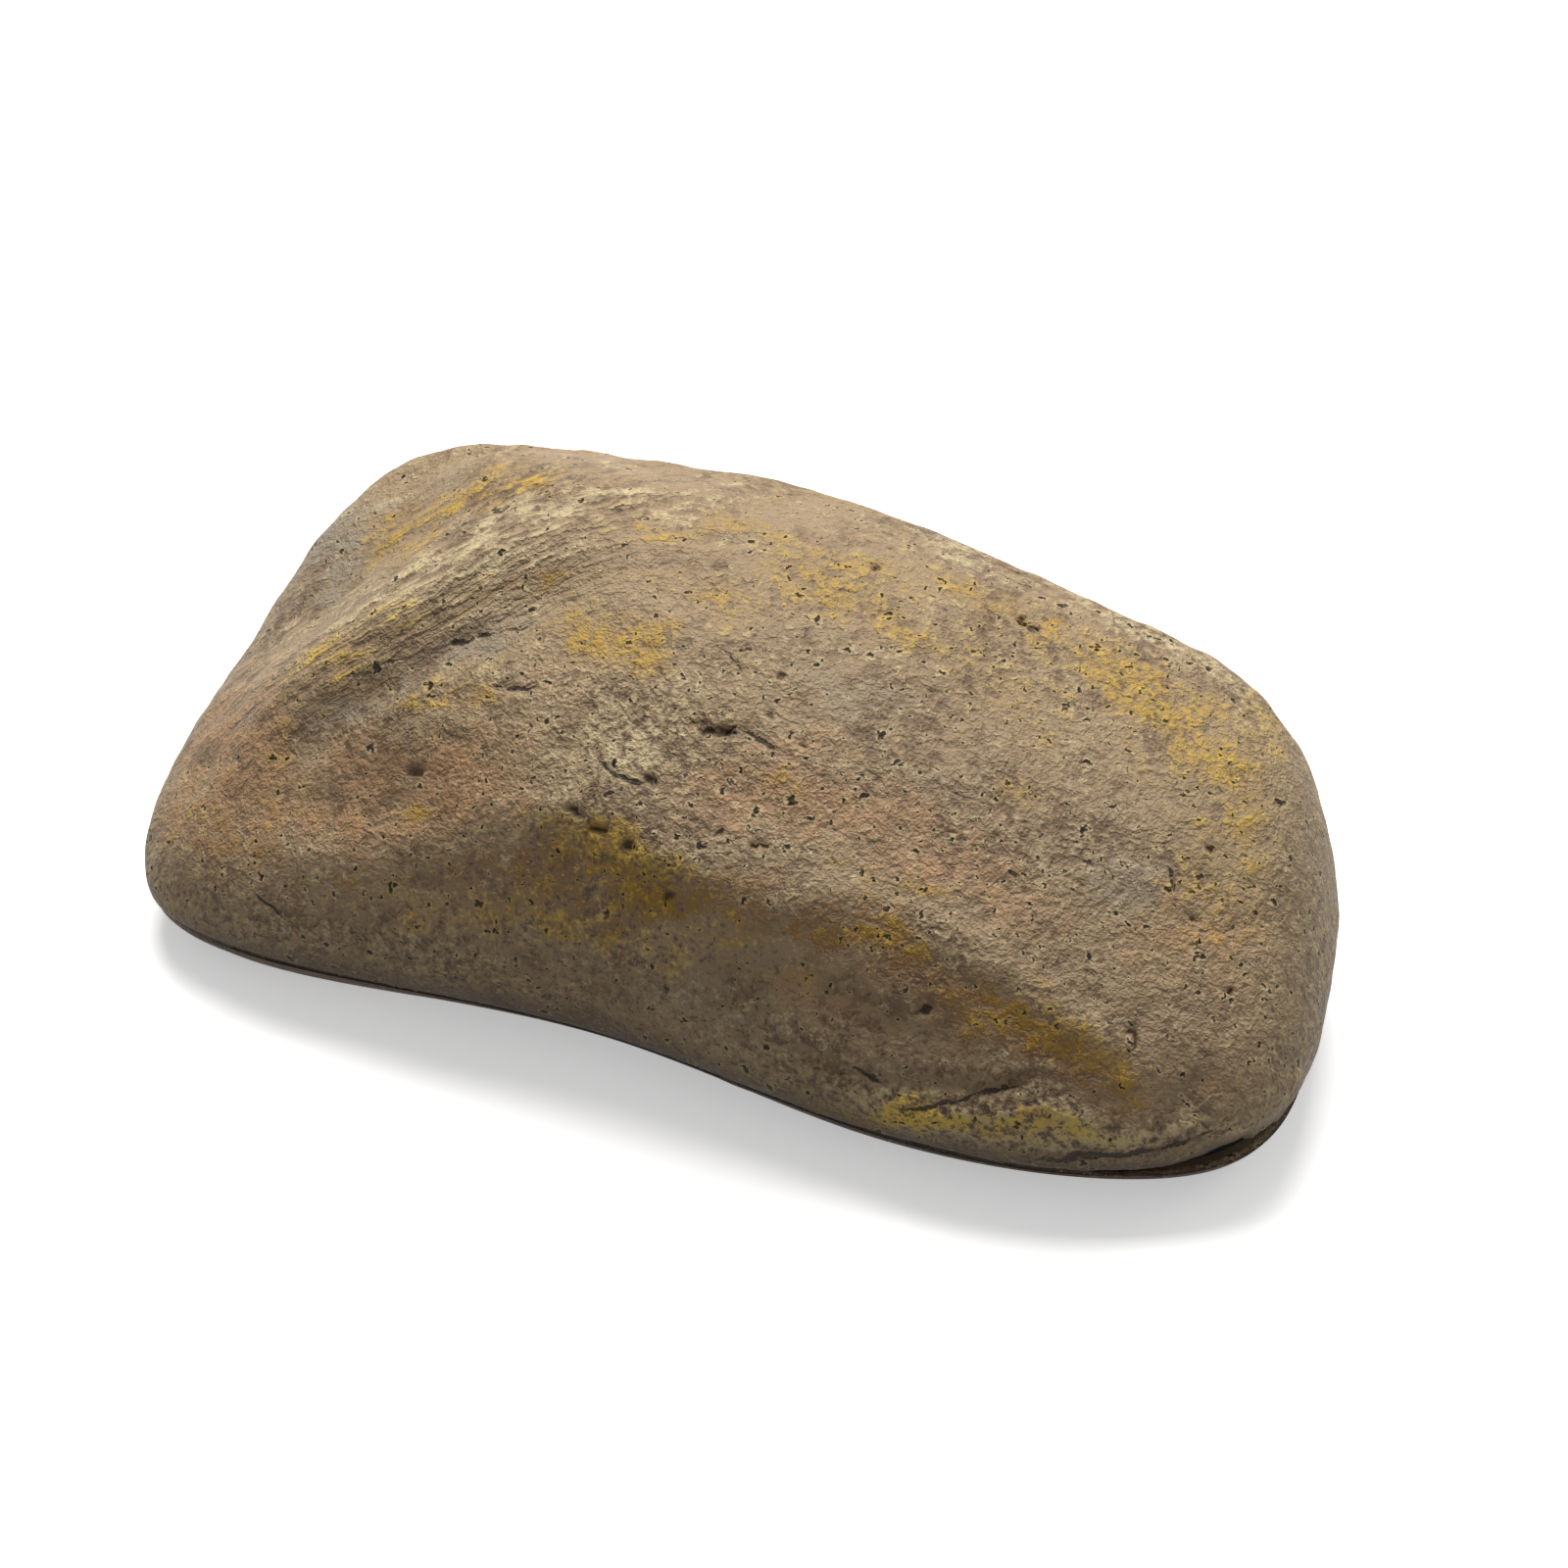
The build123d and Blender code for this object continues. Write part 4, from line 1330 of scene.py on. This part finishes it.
@dataclass(frozen=True)
class CellularFoam:
    """Closed-cell foam or rubber: small bubbles in a matt, slightly uneven skin."""

    name: str
    body: Colour
    cells: Colour
    cell: float = 0.55
    roughness: float = 0.85

    def material(self) -> bpy.types.Material:
        """Builds the material.

        Returns:
            The material.
        """
        sheet = Sheet(self.name)
        place = sheet.millimetres()
        bubbles = sheet.pits(sheet.shake(place, 0.5, 0.1), self.cell, self.cell * 0.45, 0.85)
        bubbles = bubbles.rise(1.1, 0.55)
        uneven = sheet.noise(place, 3.0, 4.0, 0.6)
        colour = sheet.mix(bubbles * 0.7, self.body, self.cells)
        colour = sheet.mix(uneven.rise(0.45, 0.8) * 0.3, colour, self.cells)
        return sheet.finish(
            Base_Color=colour,
            Roughness=self.roughness - 0.1 * (uneven - 0.5),
            Specular_IOR_Level=0.3,
            Normal=sheet.bump(0.1 * uneven - 0.08 * bubbles),
        )


@dataclass(frozen=True)
class ZincSteel:
    """Zinc-plated steel screws: pale metal with a faint brush and dull spots."""

    body: Colour = paint(190, 192, 194)
    dull: Colour = paint(128, 126, 122)

    def material(self) -> bpy.types.Material:
        """Builds the material.

        Returns:
            The material.
        """
        sheet = Sheet("zinc_steel")
        place = sheet.millimetres()
        dullness = sheet.noise(place, 1.4, 4.0, 0.65)
        brush = sheet.noise(sheet.vector("MULTIPLY", place, (0.4, 5.0, 5.0)), 0.6, 3.0)
        spots = dullness.rise(0.5, 0.75)
        return sheet.finish(
            Base_Color=sheet.mix(spots * 0.6, self.body, self.dull),
            Metallic=1.0,
            Roughness=0.3 + 0.25 * spots + 0.12 * brush,
            Normal=sheet.bump(0.012 * brush + 0.01 * dullness),
        )


# ---- The stone pieces --------------------------------------------------------------------------


@dataclass
class StoneShell:
    """The cast shell: a rough outer skin on a square grid, closed by a rim and a plain
    inner wall."""

    relief: Relief
    paints: PaintMap
    form: RockForm = field(default_factory=RockForm)
    wall: float = 5.0
    rim_z: float = 5.8
    lip: float = 0.5  # rounding of the rim's outer edge
    rim_shade: float = 0.6  # how dark the rim's underside is
    climbs: tuple[float, ...] = (0.0, 0.08, 0.2, 0.35, 0.55, 0.8, 0.97)  # rows up the wall
    columns: tuple[int, int] = (164, 206)  # grid cells left and right of the crown
    ranks: tuple[int, int] = (118, 104)  # grid cells in front of and behind the crown
    # How far the shell's lower edge has broken away over the slab, by the photograph's
    # pixel from left to right.
    broken_at: tuple[float, ...] = (860, 930, 1010, 1090, 1150, 1200, 1245, 1285, 1315, 1345)
    broken_by: tuple[float, ...] = (0.0, 0.3, 0.2, 0.3, 0.5, 0.9, 1.5, 1.5, 1.1, 0.0)

    def corners(self) -> Floats:
        """Shares of the way round at the grid's corners: front left, front right, back
        right, back left and front left again."""
        s = self.form.shares
        return np.array([s[0], (s[5] + s[6]) / 2, (s[8] + s[9]) / 2, s[12], 1.0])

    def chart(self) -> tuple[Floats, Floats, NDArray[np.int64]]:
        """The grid as shares of the way round and up, and its edge.

        A square grid is wrapped over the rock: its rings of equal distance from the centre
        are the rock's rings, and each side of the square takes the part of the way round
        between two corners.

        Returns:
            Share round and distance from the crown (0 to 1) at each grid point, and the
            indices of the points along the grid's edge, counter-clockwise.
        """
        u, v = (
            np.r_[np.linspace(-1, 0, before + 1), np.linspace(0, 1, after + 1)[1:]]
            for before, after in (self.columns, self.ranks)
        )
        u, v = (a.ravel() for a in np.meshgrid(u, v))
        out = np.maximum(np.abs(u), np.abs(v))
        scaled_u, scaled_v = u / np.maximum(out, 1e-9), v / np.maximum(out, 1e-9)
        sides = (
            (v < 0) & (-v >= np.abs(u)),
            (u > 0) & (u >= np.abs(v)),
            (v > 0) & (v >= np.abs(u)),
        )
        way = ((scaled_u + 1) / 2, (scaled_v + 1) / 2, (1 - scaled_u) / 2)
        corner = self.corners()
        share = corner[3] + (1 - scaled_v) / 2 * (corner[4] - corner[3])
        for side in (2, 1, 0):
            along = corner[side] + way[side] * (corner[side + 1] - corner[side])
            share = np.where(sides[side], along, share)
        wide, high = sum(self.columns) + 1, sum(self.ranks) + 1
        index = np.arange(wide * high).reshape(high, wide)
        edge = np.r_[index[0, :-1], index[:-1, -1], index[-1, :0:-1], index[:0:-1, 0]]
        return share, out, edge

    def broken(self, points: Floats) -> Floats:
        """How far the lower edge is broken away, in millimetres, at points near it.

        Args:
            points: Points in millimetres.

        Returns:
            Heights in millimetres, ragged by noise.
        """
        seen = self.relief.view.project(points)
        height = np.interp(seen[:, 0], self.broken_at, self.broken_by, 0, 0)
        ragged = 1 + 0.45 * self.relief.grain.layered(points * (1, 1, 0.2), 3.0, 2)
        return height * ragged * ease(seen[:, 1], 980, 1040)

    def build(self) -> bpy.types.Object:
        """Makes the shell's mesh with its masks.

        Returns:
            The piece.
        """
        share, out, edge = self.chart()
        foot = self.form.up_at(share, self.rim_z)
        points = self.form.at(share, foot + (1 - foot) * (1 - out))
        wide, high = sum(self.columns) + 1, sum(self.ranks) + 1
        quads = grid_quads(high, wide, False)
        normals = vertex_normals(points, quads)
        height = self.relief.height(points, normals)
        sheet = height.reshape(high, wide)
        cavity = self.blurred(sheet, 3) - sheet
        rough = points + normals * height[:, None]

        # The lower edge breaks away upwards over the slab at the front right.
        lift = self.broken(points) * (1 - ease(points[:, 2], self.rim_z, self.rim_z + 7))
        rough[:, 2] += lift
        rough -= normals * (0.35 * lift)[:, None]

        rim = rough[edge]
        inward = -normals[edge] * (1, 1, 0)
        inward /= np.linalg.norm(inward, axis=1, keepdims=True)
        under = rim + inward * self.lip
        under[:, 2] = self.rim_z + np.maximum(lift[edge] - 0.2, 0)
        rough[edge, 2] = np.maximum(rim[:, 2], under[:, 2] + 0.3)
        rows = [under, *self.inner_rows(share[edge])]
        crown = np.mean(rows[-1], axis=0, keepdims=True)
        everything = np.concatenate([rough, *rows, crown])
        faces = [*quads.tolist(), *self.wall_faces(edge, len(points), len(rows))]

        count, extra = len(points), len(everything) - len(points)
        masks = {
            name: np.r_[values, np.zeros(extra)]
            for name, values in self.stone_masks(points, normals, cavity.ravel(), lift).items()
        }
        # Painted shade on the rim's underside.
        masks["hollow"][count : count + len(edge)] = self.rim_shade
        piece = new_piece("stone_shell", everything, faces, masks)
        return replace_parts(piece, "rock_shell")

    def inner_rows(self, share: Floats) -> list[Floats]:
        """Rows of points up the inner wall, from its foot nearly to the crown.

        Args:
            share: Shares of the way round.

        Returns:
            The rows, the lowest first.
        """
        inner = RockForm(inset=self.wall)
        foot = inner.up_at(share, self.rim_z)
        return [inner.at(share, foot + (1 - foot) * climb) for climb in self.climbs]

    @staticmethod
    def wall_faces(edge: NDArray[np.int64], count: int, rows: int) -> list[list[int]]:
        """Faces that join the skin's edge to the inner wall, the wall's own, and its crown.

        Args:
            edge: Indices of the points along the skin's edge.
            count: Points in the skin.
            rows: Rows of points in the wall.

        Returns:
            Corner indices of each face.
        """
        around = len(edge)
        strip = np.stack([edge, np.roll(edge, -1)], axis=1)
        first = count + np.arange(around)
        lip = np.c_[strip[:, 1], strip[:, 0], first, np.roll(first, -1)]
        wall = grid_quads(rows, around, True)[:, ::-1] + count
        last = first + (rows - 1) * around
        closing = np.c_[np.roll(last, -1), last, np.full(around, count + rows * around)]
        return [*lip.tolist(), *wall.tolist(), *closing.tolist()]

    def stone_masks(
        self, points: Floats, normals: Floats, cavity: Floats, lift: Floats
    ) -> dict[str, Floats]:
        """Every value that the stone's material reads.

        Args:
            points: Points on the smooth form.
            normals: Outward directions.
            cavity: How deep each point lies under its neighbours, in millimetres.
            lift: How far the broken lower edge is lifted.

        Returns:
            Values by name.
        """
        across, along, combing = self.relief.striae(points, normals)
        side, half, _ = self.relief.cracks(points, normals)
        dents = self.relief.dents(points, normals)
        under = ease(-normals[:, 2], -0.1, 0.7)
        return {
            **self.paints.masks(points, normals),
            "across": across,
            "along": along,
            "combing": combing,
            "crack_side": side,
            "crack_half": half,
            "crest": np.clip(-cavity * 1.6, -0.3, 0.5),
            # Painted shade in dents, in dips below their neighbours and at the broken lower edge.
            "hollow": np.clip(1.1 * dents + 1.4 * cavity + 0.2 * lift, 0, 1),
            # Painted shade on faces turned down, more of it near the foot.
            "underside_shade": 0.6 * under + 0.3 * ease(-points[:, 2], -15.0, -2.0) * ease(under, 0.0, 0.2),
            # Steepness, for painted shade and painted highlights on steep faces.
            "steep": ease(-normals[:, 2], -0.75, -0.1),
        }

    @staticmethod
    def blurred(sheet: Floats, reach: int) -> Floats:
        """Mean over a square of neighbours, by two runs of sums.

        Args:
            sheet: Values on the grid.
            reach: Neighbours on each side.

        Returns:
            The blurred grid.
        """
        for _ in range(2):
            padded = np.pad(sheet, reach, mode="edge")
            sums = sum(padded[i : i + sheet.shape[0], reach:-reach] for i in range(2 * reach + 1))
            padded = np.pad(sums / (2 * reach + 1), reach, mode="edge")
            sheet = sum(padded[reach:-reach, i : i + sums.shape[1]] for i in range(2 * reach + 1))
            sheet = sheet / (2 * reach + 1)
        return sheet


@dataclass
class SlabCrust:
    """The slab's rough stone edge: a closed band round the CAD slab, in line with the
    shell above it."""

    shell: StoneShell
    edge_z: float = 5.0
    around: int = 900
    rows: int = 10
    flash: float = 1.1  # how far it rises over the seam where that is closed
    depth: float = 1.0  # how far the band reaches into the slab

    def build(self) -> bpy.types.Object:
        """Makes the band's mesh with its masks.

        Returns:
            The piece.
        """
        form, relief = self.shell.form, self.shell.relief
        share = np.arange(self.around) / self.around
        levels = np.linspace(0.12, self.edge_z, self.rows)
        outer = [form.at(share, form.up_at(share, z)) for z in levels]
        grid = np.concatenate(outer)
        normals = vertex_normals(grid, grid_quads(self.rows, self.around, True))
        height = np.maximum(relief.height(grid, normals), relief.least)
        rough = grid + normals * height[:, None] * (1, 1, 0)
        inside = RockForm(inset=self.depth)
        back = [inside.at(share, inside.up_at(share, z)) for z in (levels[-1], levels[0])]
        open_seam = ease(self.shell.broken(outer[-1]), 0.1, 0.8)
        back[0][:, 2] = self.edge_z + 0.05
        back[1][:, 2] = levels[0]
        rough[-self.around :, 2] = self.edge_z + self.flash * (1 - open_seam)
        points = np.concatenate([rough, *back])
        band = grid_quads(self.rows + 2, self.around, True)
        closed = np.concatenate([band, self.closing(self.rows + 1)])
        masks = self.shell.stone_masks(grid, normals, 0 * height, 0 * height)
        masks = {name: np.r_[v, np.zeros(2 * self.around)] for name, v in masks.items()}
        return new_piece("slab_crust", points, closed.tolist(), masks)

    def closing(self, last: int) -> NDArray[np.int64]:
        """Quads from the last row of points back to the first.

        Args:
            last: Index of the last row.

        Returns:
            Corner indices, one quad a row.
        """
        here = np.arange(self.around)
        after = (here + 1) % self.around
        top = last * self.around
        return np.c_[top + here, top + after, after, here]


@dataclass
class ScrewPier:
    """One of the posts inside the shell that a base screw bites into: a slot-shaped post
    with a blind hole."""

    place: str
    index: int
    form: RockForm = field(default_factory=RockForm)
    setback: float = 5.5
    radius: float = 4.0
    foot_z: float = 7.8
    rise: float = 8.0
    hole_radius: float = 1.55
    hole_top: float = 13.9
    around: int = 48

    def build(self) -> bpy.types.Object:
        """Makes the post: rings carried from the hole's end out and up to a narrow top,
        which leans in from the shell's shoulder.

        Returns:
            The piece.
        """
        row = np.array(self.form.stations[self.index])
        belly = self.form.lines[self.index, 2, :2]
        inner = self.form.lines[self.index, 0, :2]
        outward = (belly - inner) / np.linalg.norm(belly - inner)
        spot = belly - outward * (row[3] + self.setback)
        angle = np.arange(self.around) / self.around * 2 * np.pi
        circle = np.c_[np.cos(angle), np.sin(angle)]
        stretch = np.maximum(circle @ outward, 0)[:, None] * outward * 0.6 * row[3]
        post = spot + circle * self.radius + stretch
        hole = spot + circle * self.hole_radius
        top = self.foot_z + self.rise
        rings = (
            (spot + 0 * circle, self.hole_top),
            (hole, self.hole_top),
            (hole, self.foot_z),
            (post, self.foot_z),
            (post, self.foot_z + 3),
            (spot - 2 * outward + 0.5 * circle, top),
            (spot - 2 * outward + 0 * circle, top),
        )
        points = np.concatenate([np.c_[ring, np.full(self.around, z)] for ring, z in rings])
        quads = grid_quads(len(rings), self.around, True)
        piece = new_piece(f"shell_pier_{self.place}", points, quads.tolist())
        mesh = piece.data
        mesh.polygons.foreach_set("use_smooth", np.zeros(len(mesh.polygons), bool))
        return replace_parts(piece, "rock_shell")


# ---- The frame's own nodes ----------------------------------------------------------------------


class Body(Enum):
    """The two bodies that the slide joins."""

    ROCK = "rock"
    COVER = "cover"


def dress(piece: bpy.types.Object, material: bpy.types.Material) -> None:
    """Gives a piece one material.

    Args:
        piece: The piece.
        material: Its material.
    """
    piece.data.materials.clear()
    piece.data.materials.append(material)
    LOG.info("%s is dressed in %s", piece.name, material.name)


@dataclass(frozen=True)
class Lamp:
    """A square soft lamp that looks at the rock."""

    name: str
    place: tuple[float, float, float]  # metres from the rock
    size: float  # metres, a side
    power: float  # watts
    colour: Colour


LAMPS = (
    Lamp("key", (-0.16, 0.32, 0.66), 0.5, 8.6, (1.0, 0.985, 0.96)),
    Lamp("fill", (0.5, -0.45, 0.5), 0.5, 0.35, (0.95, 0.97, 1.0)),
    Lamp("rim", (0.45, 0.45, 0.35), 0.3, 0.5, (1.0, 0.99, 0.97)),
    Lamp("under", (0.2, -0.25, -0.7), 0.6, 4.5, (1.0, 1.0, 1.0)),
)


@dataclass
class Stage:
    """Floor, lamps, sky and camera."""

    view: Viewpoint
    floor_radius: float = 6.0  # metres
    floor_points: int = 96  # round its hole
    hole_inset: float = 0.3  # millimetres inside the rock's foot
    floor_drop: float = 0.05  # millimetres below the slab, so that the two don't coincide
    floor_glow: float = 0.42  # for camera and mirror rays alone
    floor_dim: Colour = paint(120, 118, 114)  # to bounced light
    floor_white: Colour = (0.9, 0.9, 0.9)
    sky: float = 0.28  # strength of its light; the camera sees 1
    clip: tuple[float, float] = (0.02, 50.0)  # metres

    def add(self, name: str, data: Any, place: Floats | None = None) -> bpy.types.Object:
        """Links an object to the scene.

        Args:
            name: Its name.
            data: Its mesh, lamp or camera.
            place: Where it stands in metres, if it is to look back from there.

        Returns:
            The object.
        """
        thing = bpy.data.objects.new(name, data)
        bpy.context.scene.collection.objects.link(thing)
        if place is not None:
            thing.location = place.tolist()
            thing.rotation_mode = "QUATERNION"
        return thing

    @staticmethod
    def turn(thing: bpy.types.Object, back: Floats) -> None:
        """Turns a lamp or camera so that its back points in a direction."""
        thing.rotation_quaternion = Vector((-back).tolist()).to_track_quat("-Z", "Y")

    def floor(self) -> None:
        """Lays the floor, a wide disc with a hole under the rock: white to the camera, dim
        to bounced light, so that it keeps the object's shadow and throws little light back
        on it, and open from below, so that the underside can be seen."""
        share = np.arange(self.floor_points) / self.floor_points
        hole = RockForm(inset=self.hole_inset).at(share, 0 * share)[:, :2]
        away = hole / np.linalg.norm(hole, axis=1, keepdims=True)
        level = np.full(self.floor_points, -self.floor_drop * MM)
        rings = [np.c_[hole * MM, level], np.c_[away * self.floor_radius, level]]
        mesh = bpy.data.meshes.new("floor")
        quads = grid_quads(2, self.floor_points, True)[:, ::-1]
        mesh.from_pydata(np.concatenate(rings).tolist(), [], quads.tolist())
        sheet = Sheet("pale_floor")
        rays = sheet.node("ShaderNodeLightPath", {}, {})
        shown, mirrored = (
            Signal(sheet, rays.outputs[ray]) for ray in ("Is Camera Ray", "Is Glossy Ray")
        )
        seen = shown.most(mirrored)
        side = sheet.node("ShaderNodeNewGeometry", {}, {})
        mesh.materials.append(
            sheet.finish(
                Base_Color=sheet.mix(seen, self.floor_dim, self.floor_white),
                Roughness=0.9,
                Emission_Color=sheet.mix(seen, (0.0, 0.0, 0.0), (1.0, 1.0, 1.0)),
                Emission_Strength=self.floor_glow,
                Alpha=1 - Signal(sheet, side.outputs["Backfacing"]),
            )
        )
        self.add("floor", mesh)

    def sky_light(self) -> None:
        """Even pale light from all round, which the camera sees as white."""
        world = bpy.data.worlds.new("sky")
        bpy.context.scene.world = world
        world.use_nodes = True
        tree = world.node_tree
        tree.nodes.clear()
        rays, strength, background, output = (
            tree.nodes.new(f"ShaderNode{kind}")
            for kind in ("LightPath", "MapRange", "Background", "OutputWorld")
        )
        strength.inputs["To Min"].default_value = self.sky
        strength.inputs["To Max"].default_value = 1.0
        background.inputs["Color"].default_value = (1, 1, 1, 1)
        tree.links.new(rays.outputs["Is Camera Ray"], strength.inputs["Value"])
        tree.links.new(strength.outputs["Result"], background.inputs["Strength"])
        tree.links.new(background.outputs[0], output.inputs["Surface"])

    def light(self, lamp: Lamp) -> None:
        """Hangs one lamp."""
        data = bpy.data.lights.new(lamp.name, "AREA")
        data.shape, data.size = "SQUARE", lamp.size
        data.energy, data.color = lamp.power, lamp.colour
        place = np.array(lamp.place)
        self.turn(self.add(lamp.name, data, place), place / np.linalg.norm(place))

    def camera(self) -> None:
        """The photograph's camera."""
        data = bpy.data.cameras.new("photo_camera")
        data.lens, data.sensor_width = self.view.lens, self.view.sensor
        data.clip_start, data.clip_end = self.clip
        camera = self.add("photo_camera", data, self.view.place() * MM)
        self.turn(camera, self.view.axes()[2])
        bpy.context.scene.camera = camera

    def build(self) -> None:
        """Sets up everything round the object."""
        bpy.context.scene.view_settings.view_transform = "Standard"
        self.camera()
        self.floor()
        self.sky_light()
        for lamp in LAMPS:
            self.light(lamp)


@dataclass
class KeyRock:
    """The whole object: stone pieces made here, and the frame's nodes with their finishes."""

    frame: dict[str, Any]
    view: Viewpoint

    def stone(self) -> None:
        """Makes and dresses the shell, its piers and the slab's edge."""
        stone = PaintedStone().material()
        resin = CastResin().material()
        shell = StoneShell(Relief(self.view), PaintMap(self.view))
        pieces = [(shell.build(), stone), (SlabCrust(shell).build(), stone)]
        for place, index in (
            ("front_left", 0),
            ("front_right", 6),
            ("back_right", 10),
            ("back_left", 12),
        ):
            pieces.append((ScrewPier(place, index).build(), resin))
        for piece, material in pieces:
            dress(piece, material)
            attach(piece, Body.ROCK.value)
        dress(self.frame["nodes"]["base_slab"], resin)

    def fittings(self) -> None:
        """Dresses the key box, slide, seals and screws."""
        plastic = MouldedPlastic("box_plastic", paint(46, 47, 48), paint(96, 96, 96))
        frame = MouldedPlastic("frame_plastic", paint(38, 38, 39), paint(90, 90, 90), 0.46)
        cover = MouldedPlastic("cover_plastic", paint(58, 58, 58), paint(110, 110, 108), 0.42)
        rubber = CellularFoam("seal_rubber", paint(28, 28, 28), paint(44, 44, 43), 0.3, 0.7)
        foam = CellularFoam("gasket_foam", paint(52, 52, 54), paint(30, 30, 32))
        steel = ZincSteel().material()
        finishes = {
            "key_box": plastic.material(),
            "slide_frame": frame.material(),
            "slide_cover": cover.material(),
            "base_seal": rubber.material(),
            "box_gasket": foam.material(),
        }
        finishes["key_pad"] = finishes["box_gasket"]
        for name, node in self.frame["nodes"].items():
            if "screw" in name:
                dress(node, steel)
            elif name in finishes:
                dress(node, finishes[name])


def main() -> None:
    """Builds the scene and logs what it makes."""
    logging.basicConfig(level=logging.INFO, format="%(name)s: %(message)s")
    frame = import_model()
    view = Viewpoint()
    Stage(view).build()
    rock = KeyRock(frame, view)
    rock.stone()
    rock.fittings()


if __name__ == "__main__":
    main()
